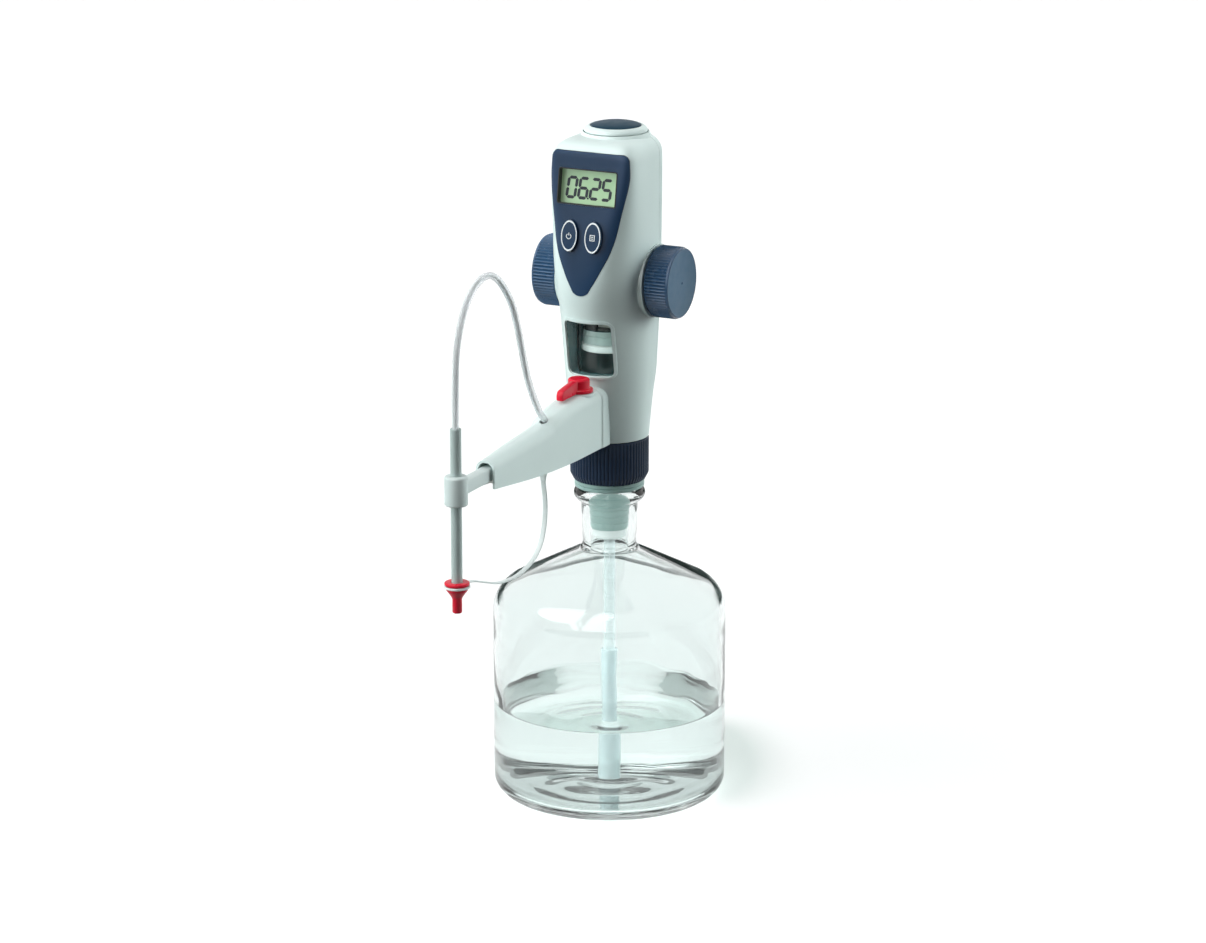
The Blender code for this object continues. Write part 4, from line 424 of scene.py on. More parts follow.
# Reagent bottle
# Pressed clear glass with a thick heel, a sloped shoulder, a heavy lip and a ground inside neck. Its wall is
# not quite even and its floor is pushed up in slow rings, which shows in what is seen through it.
BOTTLE_HEIGHT = 0.219
BOTTLE_RADIUS = 0.0805
BOTTLE_WALL = 0.004
BOTTLE_FLOOR = 0.007
HEEL_RADIUS = 0.012
SHOULDER_RADIUS = 0.022
SHOULDER_SLOPE = math.radians(27)
SHOULDER_Z = 0.131
NECK_RADIUS = 0.0185
NECK_FILLET = 0.006
LIP_RADIUS = 0.0246
LIP_HEIGHT = 0.0095
SOCKET_RADIUS = 0.0146
SOCKET_DEPTH = 0.032
SOCKET_TAPER = 0.05
INNER_HEEL = 0.010
INNER_FILLET = 0.004
INNER_STEP = 0.005
OUTER_STEP = 0.017
PUNT_RADIUS = 0.060
PUNT_RISE = 0.0045
PUNT_RING = 0.0003
PUNT_PITCH = 0.019
PUNT_DIP = 0.008
FOOT_LIFT = 0.0006
FOOT_SHARE = 0.8
WAVE_FADE = 0.020
WAVE_DEPTH = 0.008
WAVE_SCALE = Vector((34.0, 34.0, 60.0))


def arc(centre, radius, start, end, steps):
    """Points on an arc between two angles in degrees."""
    points = []
    for step in range(steps + 1):
        angle = math.radians(start + (end - start) * step / steps)
        points.append((centre[0] + radius * math.cos(angle), centre[1] + radius * math.sin(angle)))
    return points


def turned(profile, segments=96, centre=(0.0, 0.0)):
    """Turn (radius, height) points about a vertical axis; points on the axis become one point."""
    shape = bmesh.new()
    rings = []
    for radius, height in profile:
        if radius < 1e-7:
            rings.append([shape.verts.new((centre[0], centre[1], height))])
            continue
        ring = []
        for step in range(segments):
            angle = 2 * math.pi * step / segments
            ring.append(shape.verts.new((centre[0] + radius * math.cos(angle),
                                         centre[1] + radius * math.sin(angle), height)))
        rings.append(ring)
    for lower, upper in zip(rings, rings[1:]):
        for step in range(segments):
            after = (step + 1) % segments
            corners = [lower[step % len(lower)], lower[after % len(lower)],
                       upper[after % len(upper)], upper[step % len(upper)]]
            corners = list(dict.fromkeys(corners))
            if len(corners) > 2:
                shape.faces.new(corners)
    return shape


shoulder_centre = (BOTTLE_RADIUS - SHOULDER_RADIUS, SHOULDER_Z)
cone_angle = 90 - math.degrees(SHOULDER_SLOPE)
outer_shoulder = arc(shoulder_centre, SHOULDER_RADIUS, cone_angle, 0, 16)
cone_top = outer_shoulder[0]
neck_base_z = cone_top[1] + (cone_top[0] - NECK_RADIUS) * math.tan(SHOULDER_SLOPE)
socket_end = (SOCKET_RADIUS - SOCKET_TAPER * SOCKET_DEPTH, BOTTLE_HEIGHT - SOCKET_DEPTH)
lip_round = LIP_HEIGHT / 2
fillet_reach = NECK_FILLET * math.tan(math.radians(cone_angle / 2))
fillet_centre = (NECK_RADIUS + NECK_FILLET, neck_base_z + fillet_reach)


def floor_rise(radius):
    """Height of the floor's push-up and of its slow rings, flat under the suction tube."""
    share = max(0.0, 1 - radius / PUNT_RADIUS)
    under_tube = min(1.0, max(0.0, radius / PUNT_DIP - 1))
    ring = PUNT_RING * math.sin(radius / PUNT_PITCH * 2 * math.pi) * min(1.0, share * 4)
    return (PUNT_RISE * share + ring) * under_tube


PUNT_STEPS = [PUNT_RADIUS * step / 30 for step in range(31)]
inner_radius = BOTTLE_RADIUS - BOTTLE_WALL
bottle_profile = [(radius, BOTTLE_FLOOR + floor_rise(radius)) for radius in PUNT_STEPS]
bottle_profile += arc((inner_radius - INNER_HEEL, BOTTLE_FLOOR + INNER_HEEL), INNER_HEEL, -90, 0, 10)
bottle_profile += [(inner_radius, BOTTLE_FLOOR + INNER_HEEL + step * INNER_STEP) for step in range(1, 23)]
bottle_profile += arc(shoulder_centre, SHOULDER_RADIUS - BOTTLE_WALL, 0, cone_angle, 14)
inner_cone_z = bottle_profile[-1][1] + (bottle_profile[-1][0] - socket_end[0]) * math.tan(SHOULDER_SLOPE)
inner_fillet_rise = INNER_FILLET * math.tan(math.radians(cone_angle / 2))
inner_fillet_centre = (socket_end[0] + INNER_FILLET, inner_cone_z + inner_fillet_rise)
bottle_profile += reversed(arc(inner_fillet_centre, INNER_FILLET, 180, 180 + cone_angle, 8))
bottle_profile += [socket_end, (SOCKET_RADIUS, BOTTLE_HEIGHT)]
bottle_profile += arc((LIP_RADIUS - lip_round, BOTTLE_HEIGHT - lip_round), lip_round, 90, -70, 14)
bottle_profile += [(NECK_RADIUS + 0.0014, BOTTLE_HEIGHT - LIP_HEIGHT - 0.0006),
                   (NECK_RADIUS + 0.0010, BOTTLE_HEIGHT - LIP_HEIGHT - 0.0030)]
bottle_profile += arc(fillet_centre, NECK_FILLET, 180, 180 + cone_angle, 8)
bottle_profile += outer_shoulder
bottle_profile += [(BOTTLE_RADIUS, SHOULDER_Z - step * OUTER_STEP) for step in range(1, 7)]
bottle_profile += arc((BOTTLE_RADIUS - HEEL_RADIUS, HEEL_RADIUS), HEEL_RADIUS, 0, -90, 12)
bottle_profile += [(radius, FOOT_LIFT + FOOT_SHARE * floor_rise(radius)) for radius in reversed(PUNT_STEPS)]

bottle_glass, tree, shader = material("bottle_glass", 0.0, Transmission_Weight=1.0, IOR=1.47)
tint(tree, noise(tree, 14.0), (0.870, 0.915, 0.908), (0.890, 0.930, 0.924), shader.inputs["Base Color"])
relief(tree, noise(tree, 26.0, 1.0, (1.0, 1.0, 1.7)), 0.0009, 0.5, shader)


def wavy_wall(shape, radius):
    """Let a wall at one radius swell and shrink slowly, fading out at the heel and under the shoulder."""
    for vertex in shape.verts:
        if abs(math.hypot(vertex.co.x, vertex.co.y) - radius) < 1e-5:
            fade = min(vertex.co.z / WAVE_FADE - 1, (SHOULDER_Z - vertex.co.z) / WAVE_FADE)
            swell = 1 + WAVE_DEPTH * min(1.0, max(0.0, fade)) * wave.noise(vertex.co * WAVE_SCALE)
            vertex.co.x *= swell
            vertex.co.y *= swell


bottle_shape = turned(bottle_profile, 180)
wavy_wall(bottle_shape, inner_radius)
bottle = piece("reagent_bottle", bottle_shape, bottle_glass, 60)
bottle.visible_shadow = False
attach(bottle, "bottle")
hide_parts("glass_bottle", "bottle_floor")

# Reagent
# Clear watery liquid, with a small rise where its surface meets the glass. It reaches a little into the
# glass, so that no air shows between the two.
LIQUID_LEVEL = 0.0646
FLOOR_OVERLAP = 0.0002
WALL_OVERLAP = 0.00015
WETTED = inner_radius + WALL_OVERLAP
WETTED_FROM = 0.018
WETTED_STEP = 0.004
MENISCUS = [(0.0006, 0.0009), (0.0016, 0.0004), (0.0036, 0.0)]
liquid_profile = [(radius, BOTTLE_FLOOR - FLOOR_OVERLAP + floor_rise(radius)) for radius in PUNT_STEPS]
liquid_profile += arc((WETTED - INNER_HEEL, BOTTLE_FLOOR - WALL_OVERLAP + INNER_HEEL), INNER_HEEL, -90, 0, 10)
liquid_profile += [(WETTED, WETTED_FROM + step * WETTED_STEP) for step in range(13)]
liquid_profile += [(WETTED - inward, LIQUID_LEVEL + rise) for inward, rise in MENISCUS]
liquid_profile += [(0.0, LIQUID_LEVEL)]
reagent_finish, tree, shader = material("reagent_water", 0.0, Transmission_Weight=1.0, IOR=1.333)
tint(tree, noise(tree, 9.0), (0.955, 0.985, 0.978), (0.970, 0.992, 0.988), shader.inputs["Base Color"])
liquid_shape = turned(liquid_profile, 180)
wavy_wall(liquid_shape, WETTED)
reagent = piece("reagent", liquid_shape, reagent_finish, 60)
reagent.visible_shadow = False
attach(reagent, "bottle")

# Neck adapter
# Pale green polypropylene adapter from the ground neck to the collar's thread. Its flange lies on the lip and
# its tapered plug, with fine grooves, sits in the ground socket.
ADAPTER_BASE_Z = 0.2193
ADAPTER_FLANGE_Z = 0.2246
ADAPTER_TOP_Z = 0.2411
ADAPTER_RADIUS = 0.024
ADAPTER_ROUND = 0.0009
ADAPTER_BORE = 0.0117
ADAPTER_LINE = [(0.0, 0.2226), (0.0006, 0.2222), (0.0, 0.2218)]
THREAD_RADIUS = 0.0222
PLUG_END_Z = 0.190
PLUG_EDGE_Z = 0.1925
PLUG_EDGE = 0.0008
PLUG_FIT = 0.0003
PLUG_GROOVES = (0.2090, 0.2045, 0.2000, 0.1955)
GROOVE_HALF = 0.0004
GROOVE_DEPTH = 0.0004
adapter_finish, tree, shader = material("adapter_polypropylene", 0.32)
tint(tree, noise(tree, 50.0, 3.0), (0.27, 0.41, 0.385), (0.31, 0.45, 0.425), shader.inputs["Base Color"])
vary(tree, noise(tree, 220.0), 0.26, 0.38, shader.inputs["Roughness"])
relief(tree, noise(tree, 900.0), 0.00004, 0.3, shader)


def plug_radius(z):
    return SOCKET_RADIUS - SOCKET_TAPER * (BOTTLE_HEIGHT - z) - PLUG_FIT


round_x = ADAPTER_RADIUS - ADAPTER_ROUND
adapter_profile = [(ADAPTER_BORE, ADAPTER_TOP_Z), (THREAD_RADIUS, ADAPTER_TOP_Z),
                   (THREAD_RADIUS, ADAPTER_FLANGE_Z)]
adapter_profile += arc((round_x, ADAPTER_FLANGE_Z - ADAPTER_ROUND), ADAPTER_ROUND, 90, 0, 5)
adapter_profile += [(ADAPTER_RADIUS - depth, z) for depth, z in ADAPTER_LINE]
adapter_profile += arc((round_x, ADAPTER_BASE_Z + ADAPTER_ROUND), ADAPTER_ROUND, 0, -90, 5)
adapter_profile += [(plug_radius(ADAPTER_BASE_Z), ADAPTER_BASE_Z)]
for groove_z in PLUG_GROOVES:
    for step, drop in ((2, 0.0), (1, GROOVE_DEPTH), (-1, GROOVE_DEPTH), (-2, 0.0)):
        z = groove_z + step * GROOVE_HALF
        adapter_profile.append((plug_radius(z) - drop, z))
adapter_profile += [(plug_radius(PLUG_EDGE_Z), PLUG_EDGE_Z),
                    (plug_radius(PLUG_END_Z) - PLUG_EDGE, PLUG_END_Z),
                    (ADAPTER_BORE, PLUG_END_Z), (ADAPTER_BORE, ADAPTER_TOP_Z)]
adapter = piece("bottle_adapter", turned(adapter_profile, 96), adapter_finish)
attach(adapter, "bottle")
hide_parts("neck_adapter")

# Filling valve and suction tube
# A white valve body hangs in the neck and hides its ball. The suction tube is pushed in below, and a wider
# sleeve telescopes on it down to the bottle's floor.
VALVE_RADIUS = 0.0113
VALVE_EDGE = [(0.0, 0.0120), (0.0008, 0.0112), (0.0008, 0.0098), (0.0, 0.0090), (0.0, 0.0015), (0.0015, 0.0)]
VALVE_SOCKET = 0.0043
VALVE_SOCKET_DEPTH = 0.012
PIPE_RADIUS = 0.0040
PIPE_BORE = 0.0026
PIPE_EDGE = 0.0002
BORE_SHOWN = 0.004
SLEEVE_RADIUS = 0.0056
SLEEVE_BORE = 0.0044
SLEEVE_EDGE = 0.0003
valve_low, valve_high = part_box("filling_valve")
tube_low, tube_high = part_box("suction_tube")
sleeve_low, sleeve_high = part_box("suction_sleeve")
waxy_finish = moulded("valve_fluoropolymer", (0.85, 0.90, 0.89), 0.36, grain=500.0)
socket_z = valve_low.z + VALVE_SOCKET_DEPTH
valve_profile = [(0.0, valve_high.z), (VALVE_RADIUS, valve_high.z)]
valve_profile += [(VALVE_RADIUS - drop, valve_low.z + rise) for drop, rise in VALVE_EDGE]
valve_profile += [(VALVE_SOCKET, valve_low.z), (VALVE_SOCKET, socket_z), (0.0, socket_z)]
valve_body = piece("filling_valve_body", turned(valve_profile, 72), waxy_finish)
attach(valve_body, "base")
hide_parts("filling_valve", "valve_ball")
tube_finish, tree, shader = material("suction_tube_plastic", 0.06, Transmission_Weight=0.70, IOR=1.06)
tint(tree, noise(tree, 40.0), (0.80, 0.86, 0.865), (0.85, 0.90, 0.90), shader.inputs["Base Color"])
vary(tree, noise(tree, 90.0), 0.04, 0.10, shader.inputs["Roughness"])


def open_tube(outer, inner, bottom, top, rounding, segments=48, centre=(0.0, 0.0)):
    """A tube with rounded rims."""
    profile = [(inner, bottom + rounding), (inner + rounding, bottom), (outer - rounding, bottom),
               (outer, bottom + rounding), (outer, top - rounding), (outer - rounding, top),
               (inner + rounding, top), (inner, top - rounding), (inner, bottom + rounding)]
    return turned(profile, segments, centre)


sleeve_finish = moulded("suction_sleeve_plastic", (0.70, 0.77, 0.78), 0.16,
                        Transmission_Weight=0.62, IOR=1.05)
pipe_profile = [(0.0, tube_high.z), (PIPE_RADIUS - PIPE_EDGE, tube_high.z),
                (PIPE_RADIUS, tube_high.z - PIPE_EDGE), (PIPE_RADIUS, tube_low.z + PIPE_EDGE),
                (PIPE_RADIUS - PIPE_EDGE, tube_low.z),
                (PIPE_BORE, tube_low.z), (PIPE_BORE, tube_low.z + BORE_SHOWN), (0.0, tube_low.z + BORE_SHOWN)]
suction = piece("suction_pipe", turned(pipe_profile, 48), tube_finish)
suction.visible_shadow = False
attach(suction, "base")
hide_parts("suction_tube")
sleeve_shape = open_tube(SLEEVE_RADIUS, SLEEVE_BORE, sleeve_low.z, sleeve_high.z, SLEEVE_EDGE)
sleeve = piece("suction_pipe_sleeve", sleeve_shape, sleeve_finish)
sleeve.visible_shadow = False
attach(sleeve, "sleeve")
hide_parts("suction_sleeve")

# Collar nut
# Dark blue moulded union nut with upright grip ribs and a tapered foot, screwed on the adapter's thread.
COLLAR_RADIUS = 0.027
COLLAR_RIBS = 66
COLLAR_LAND = 0.0016
COLLAR_BORE = 0.855
COLLAR_FOOT = [(0.0, 0.9115), (0.0006, 0.925), (0.0028, 0.968), (0.0042, 0.993), (0.0052, 1.0)]
COLLAR_CROWN = [(0.0012, 1.0), (0.0004, 0.995), (0.0, 0.982), (0.0, 0.69), (0.010, 0.69),
                (0.010, COLLAR_BORE)]
RIB_DEPTH = 0.00075
collar_low, collar_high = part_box("collar_nut")
collar_finish = moulded("collar_polypropylene", (0.010, 0.025, 0.056), 0.36, grain=1100.0, mottle=0.06,
                        Specular_IOR_Level=0.16)


def ribbed_ring(radius, ribs, depth, crest=0.6, per_rib=8):
    """Outline with rounded ridges and narrow grooves, as (across, up) points."""
    points = []
    for step in range(ribs * per_rib):
        angle = 2 * math.pi * step / (ribs * per_rib)
        swell = abs(math.sin(ribs * angle / 2)) ** crest
        reach = radius - depth * (1 - swell)
        points.append((reach * math.cos(angle), reach * math.sin(angle)))
    return points


ribbed = ribbed_ring(COLLAR_RADIUS, COLLAR_RIBS, RIB_DEPTH)
rim_radius = COLLAR_RADIUS - RIB_DEPTH * 0.5
rim = oval(rim_radius, rim_radius, len(ribbed))
collar_levels = [(ribbed, collar_low.z + rise, scale) for rise, scale in COLLAR_FOOT]
collar_levels += [(ribbed, collar_high.z - COLLAR_LAND, 1.0)]
collar_levels += [(rim, collar_high.z - drop, scale) for drop, scale in COLLAR_CROWN]
collar_levels += [(rim, collar_low.z, COLLAR_BORE), collar_levels[0]]
collar_loops = [[Vector((x * scale, y * scale, z)) for x, y in outline]
                for outline, z, scale in collar_levels]
collar = piece("union_collar", skinned(collar_loops, capped=False), collar_finish, 50)
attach(collar, "collar")
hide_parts("collar_nut")

# Swivel base and seals
# Grey base that the instrument turns on, with white seals. Only their edges show when the collar is undone.
grey_finish = moulded("grey_polypropylene", (0.56, 0.58, 0.58), 0.44)


def dress(finish, *names):
    """Give kept solids a finish."""
    for name in names:
        mesh = nodes[name].data
        mesh.materials.clear()
        mesh.materials.append(finish)


dress(grey_finish, "swivel_base")
dress(waxy_finish, "neck_seal")

# Housing
# Two off-white shells, moulded in a satin plastic and closed along a seam behind the wheel shaft. The front
# leans back under the panel, flares to the wheels and carries the arch that the arm plugs on.
FOOT_Z = 0.2558
HOUSING_TOP_Z = 0.463
TOP_ROUNDING = 0.012
SHELL_WALL = 0.0025
SEAM_Y = 0.0135
SEAM_GAP = 0.0004
WINDOW_BOTTOM_Z = 0.304
WINDOW_TOP_Z = 0.342
WINDOW_HALF_WIDTH = 0.017
WINDOW_CORNER = 0.004
WINDOW_DEPTH = 0.0008
WINDOW_RIM = 0.0014
PANEL_TIP_Z = 0.362
PANEL_TOP_Z = 0.457
PANEL_TIP = 0.0078
PANEL_CORNER = 0.005
PANEL_DEPTH = 0.0012
PANEL_FIT = 0.0003
DISPLAY_Z = 0.434
DISPLAY_HALF_WIDTH = 0.02175
DISPLAY_HALF_HEIGHT = 0.012
DISPLAY_CORNER = 0.0015
COVER_BOTTOM_Z = 0.3974
COVER_TOP_Z = 0.4481
COVER_HALF_WIDTH = 0.0141
COVER_CORNER = 0.003
NOSE_REACH = 0.0455
BROW_REACH = 0.0305
AROUND = 168
LEVEL_STEP = 0.0026
ROUGH_AROUND = 96
ROUGH_STEP = 0.006
LOOP_POINTS = 960
TOP_KEY_Y = 0.0097
WHEEL_Y = 0.0068
WHEEL_Z = 0.365
BOSS_FACE_X = 0.0326
BOSS_RADIUS = 0.0252
BOSS_FLARE = 0.0105
BOSS_DEPTH = 0.012
BOSS_STEPS = 12
ARM_REAR_Y = -0.037
ARM_END_Y = -0.185
ARM_WALL = 0.0015
ARM_REAR_HALF = 0.012
ARM_END_HALF = 0.0069
ARM_CROWN = 0.007
CROWN_FLAT = 0.0004
ARCH_GAP = 0.0002
ARCH_STEP = 0.0006
ARCH_PROUD = 0.0007
PASSAGE_FIT = 0.0009
PASSAGE_DROP = 0.005
PASSAGE_ENDS = (ARM_REAR_Y - 0.0025, -0.013)
STEM_BORE = 0.0074
SHAFT_BORE = 0.0051
CUT_PAST = 0.01
OUTSIDE = 0.1
WINDOW_BACK_Y = -0.020
LIP_BACK_Y = -0.019
LIP_WIDTH = 0.0020
LIP_PROUD = 0.0007
LIP_ROUND = 0.0006
housing_finish = moulded("housing_plastic", (0.690, 0.785, 0.768), 0.40, grain=1500.0, grain_depth=0.00003,
                         mottle=0.012)


def curve_at(keys, place):
    """Read a smooth curve through sorted (place, value) keys."""
    if place <= keys[0][0]:
        return keys[0][1]
    for index in range(len(keys) - 1):
        (start, low), (end, high) = keys[index], keys[index + 1]
        if place <= end:
            before, after = keys[max(index - 1, 0)], keys[min(index + 2, len(keys) - 1)]
            span = end - start
            rise = (high - before[1]) / (end - before[0])
            fall = (after[1] - low) / (after[0] - start)
            t = (place - start) / span
            return ((2 * t**3 - 3 * t**2 + 1) * low + (t**3 - 2 * t**2 + t) * span * rise
                    + (3 * t**2 - 2 * t**3) * high + (t**3 - t**2) * span * fall)
    return keys[-1][1]


def half_width(z):
    return curve_at([(FOOT_Z, 0.0270), (0.280, 0.0280), (WINDOW_BOTTOM_Z, 0.0295), (WINDOW_TOP_Z, 0.0310),
                     (PANEL_TIP_Z, 0.0315), (0.433, 0.0316), (PANEL_TOP_Z, 0.0312)], z)


def front_reach(z):
    return curve_at([(FOOT_Z, 0.0270), (0.280, 0.0305), (WINDOW_BOTTOM_Z, 0.0340), (WINDOW_TOP_Z, 0.0408),
                     (PANEL_TIP_Z, NOSE_REACH), (0.375, NOSE_REACH), (0.402, 0.0420), (0.433, 0.0352),
                     (PANEL_TOP_Z, BROW_REACH)], z)


def back_reach(z):
    return curve_at([(FOOT_Z, 0.0270), (0.280, 0.0275), (WINDOW_BOTTOM_Z, 0.0280), (WINDOW_TOP_Z, 0.0300),
                     (0.402, 0.0335), (PANEL_TOP_Z, 0.0360)], z)


def front_squareness(z):
    return curve_at([(FOOT_Z, 2.0), (WINDOW_TOP_Z, 2.0), (PANEL_TIP_Z, 2.25), (0.385, 2.8), (0.410, 3.5),
                     (0.433, 5.5), (PANEL_TOP_Z, 8.0)], z)


def back_squareness(z):
    return curve_at([(FOOT_Z, 2.0), (0.285, 2.6), (WINDOW_BOTTOM_Z, 3.2), (PANEL_TOP_Z, 3.0)], z)


def even_loop(points, count):
    """Space a closed run of points evenly along its length."""
    closed = points + points[:1]
    steps = [0.0]
    for start, end in zip(closed, closed[1:]):
        steps.append(steps[-1] + math.hypot(end[0] - start[0], end[1] - start[1]))
    spaced, place = [], 0
    for index in range(count):
        target = steps[-1] * index / count
        while steps[place + 1] < target:
            place += 1
        share = (target - steps[place]) / (steps[place + 1] - steps[place])
        start, end = closed[place], closed[place + 1]
        spaced.append((start[0] + (end[0] - start[0]) * share, start[1] + (end[1] - start[1]) * share))
    return spaced


def housing_loop(z, inset, shape_z, count):
    """The housing's outline at one level, with the shape that it has at shape_z."""
    points = []
    for index in range(LOOP_POINTS):
        angle = 2 * math.pi * index / LOOP_POINTS
        across, along = math.cos(angle), math.sin(angle)
        front = along < 0
        power = 2 / (front_squareness(shape_z) if front else back_squareness(shape_z))
        reach = front_reach(shape_z) if front else back_reach(shape_z)
        points.append((math.copysign(abs(across) ** power, across) * (half_width(shape_z) - inset),
                       math.copysign(abs(along) ** power, along) * (reach - inset)))
    return [Vector((x, y, z)) for x, y in even_loop(points, count)]


def housing_form(name, finish, inset=0.0, bottom=FOOT_Z, count=AROUND, level_step=LEVEL_STEP):
    """The housing's outer form drawn in by an even inset, with a rounded top."""
    shoulder = HOUSING_TOP_Z - TOP_ROUNDING
    rounding = TOP_ROUNDING - inset
    steps = round((shoulder - FOOT_Z) / level_step)
    loops = [housing_loop(bottom, inset, FOOT_Z, count)]
    for step in range(1, steps + 1):
        z = FOOT_Z + (shoulder - FOOT_Z) * step / steps
        loops.append(housing_loop(z, inset, z, count))
    for step in range(1, 11):
        angle = math.pi / 2 * step / 10
        drawn_in = inset + rounding * (1 - math.cos(angle))
        loops.append(housing_loop(shoulder + rounding * math.sin(angle), drawn_in, shoulder, count))
    return piece(name, skinned(loops), finish)


def carve(made, operation, tool):
    """Cut, join or intersect a piece with a tool, which is then thrown away."""
    step = made.modifiers.new("carve", "BOOLEAN")
    step.operation = operation
    step.solver = "MANIFOLD"
    step.object = tool
    shape = bpy.data.meshes.new_from_object(made.evaluated_get(bpy.context.evaluated_depsgraph_get()))
    made.modifiers.clear()
    old = made.data
    made.data = shape
    bpy.data.meshes.remove(old)
    bpy.data.objects.remove(tool)


def keep_skin(made, finish, outer, inner, count=AROUND, level_step=LEVEL_STEP):
    """Keep of a piece only what lies between two insets of the housing's form."""
    carve(made, "INTERSECT", housing_form("skin_face", finish, outer, FOOT_Z - CUT_PAST))
    back = housing_form("skin_back", finish, inner, FOOT_Z - 2 * CUT_PAST, count, level_step)
    carve(made, "DIFFERENCE", back)


def settle(made, sharp_degrees=30):
    """Smooth shading after carving, sharp only at real edges."""
    made.data.shade_smooth()
    made.data.set_sharp_from_angle(angle=math.radians(sharp_degrees))


def prism(name, outline, near_y, far_y, finish):
    """A tool that runs an (x, z) outline from one y to another."""
    return piece(name, skinned([[Vector((x, y, z)) for x, z in outline] for y in (near_y, far_y)]), finish)


def rod(radius, bottom, top, segments=48, centre=(0.0, 0.0)):
    """An upright round bar."""
    return turned([(0.0, bottom), (radius, bottom), (radius, top), (0.0, top)], segments, centre)


def rounded_box(half, bottom, top, radius, steps=8):
    """Outline of a rectangle with round corners, in (x, z)."""
    outline = arc((half - radius, top - radius), radius, 0, 90, steps)
    outline += arc((radius - half, top - radius), radius, 90, 180, steps)
    outline += arc((radius - half, bottom + radius), radius, 180, 270, steps)
    outline += arc((half - radius, bottom + radius), radius, 270, 360, steps)
    return outline


def panel_half_width(z):
    return curve_at([(PANEL_TIP_Z + 0.0035, 0.0060), (0.375, 0.0115), (0.394, 0.0201), (0.418, 0.0252),
                     (0.440, 0.0288), (PANEL_TOP_Z, 0.0281)], z)


def panel_outline(grow=0.0):
    right = [(panel_half_width(z / 1000) + grow, z / 1000) for z in range(368, 452)]
    edge = panel_half_width(PANEL_TOP_Z - PANEL_CORNER)
    right += arc((edge - PANEL_CORNER, PANEL_TOP_Z - PANEL_CORNER), PANEL_CORNER + grow, 6, 90, 10)
    tip = arc((0.0, PANEL_TIP_Z + PANEL_TIP), PANEL_TIP + grow, 227, 313, 12)
    return right + [(-x, z) for x, z in reversed(right)] + tip


def window_outline(grow=0.0):
    return rounded_box(WINDOW_HALF_WIDTH + grow, WINDOW_BOTTOM_Z - grow, WINDOW_TOP_Z + grow,
                       WINDOW_CORNER + grow)


def cover_outline(grow=0.0):
    return rounded_box(COVER_HALF_WIDTH + grow, COVER_BOTTOM_Z - grow, COVER_TOP_Z + grow, COVER_CORNER)


def display_outline():
    return rounded_box(DISPLAY_HALF_WIDTH, DISPLAY_Z - DISPLAY_HALF_HEIGHT, DISPLAY_Z + DISPLAY_HALF_HEIGHT,
                       DISPLAY_CORNER)


PANEL_LEAN = math.atan2(NOSE_REACH - BROW_REACH, PANEL_TOP_Z - PANEL_TIP_Z)
KEY_Z = 0.402
KEY_SPACING = 0.0174
KEY_HOLE = oval(0.0063, 0.0110)


def panel_place(z, depth=0.0):
    """A frame on the panel's centre line: local X across, local Y up the panel, local Z out of it."""
    lean = Matrix.Rotation(math.pi / 2 - PANEL_LEAN, 4, "X")
    return Matrix.Translation((0.0, -front_reach(z), z)) @ lean @ Matrix.Translation((0.0, 0.0, -depth))


def key_place(side):
    return panel_place(KEY_Z) @ Matrix.Translation((side * KEY_SPACING / 2, 0.0, 0.0))


def key_opening(side, finish):
    loops = [[Vector((x, y, z)) for x, y in KEY_HOLE] for z in (-0.01, 0.01)]
    tool = piece("key_opening", skinned(loops), finish)
    tool.matrix_world = key_place(side)
    return tool


def wheel_boss(side):
    """Flared boss behind a hand wheel."""
    profile = [(0.0, 0.0)]
    for step in range(BOSS_STEPS + 1):
        share = step / BOSS_STEPS
        profile.append((BOSS_RADIUS + BOSS_FLARE * share ** 2.2, -BOSS_DEPTH * share))
    profile += [(0.0, -BOSS_DEPTH)]
    boss = piece("wheel_boss", turned(profile, 120), housing_finish)
    boss.matrix_world = (Matrix.Translation((side * BOSS_FACE_X, WHEEL_Y, WHEEL_Z))
                         @ Matrix.Rotation(side * math.pi / 2, 4, "Y"))
    return boss


def arm_half_width(y):
    share = (y - ARM_REAR_Y) / (ARM_END_Y - ARM_REAR_Y)
    return ARM_REAR_HALF + (ARM_END_HALF - ARM_REAR_HALF) * share


def arm_top(y):
    return curve_at([(ARM_END_Y, 0.2827), (-0.151, 0.2850), (-0.104, 0.2874), (-0.096, 0.2908),
                     (-0.077, 0.2944), (-0.060, 0.2958), (ARM_REAR_Y, 0.2960)], y)


def arm_bottom(y):
    return curve_at([(ARM_END_Y, 0.2643), (-0.127, 0.2582), (-0.082, FOOT_Z), (ARM_REAR_Y, FOOT_Z)], y)


def arm_arch(y, inset, drop=0.0):
    """Half-round-topped section of the arm at one y, as (x, z) points from lower right to lower left."""
    half = arm_half_width(y) - inset
    top = arm_top(y) - inset
    crown = min(ARM_CROWN - inset, half - CROWN_FLAT)
    points = [(half, arm_bottom(y) - drop)]
    points += arc((half - crown, top - crown), crown, 0, 90, 10)
    points += arc((crown - half, top - crown), crown, 90, 180, 10)
    return points + [(-half, arm_bottom(y) - drop)]


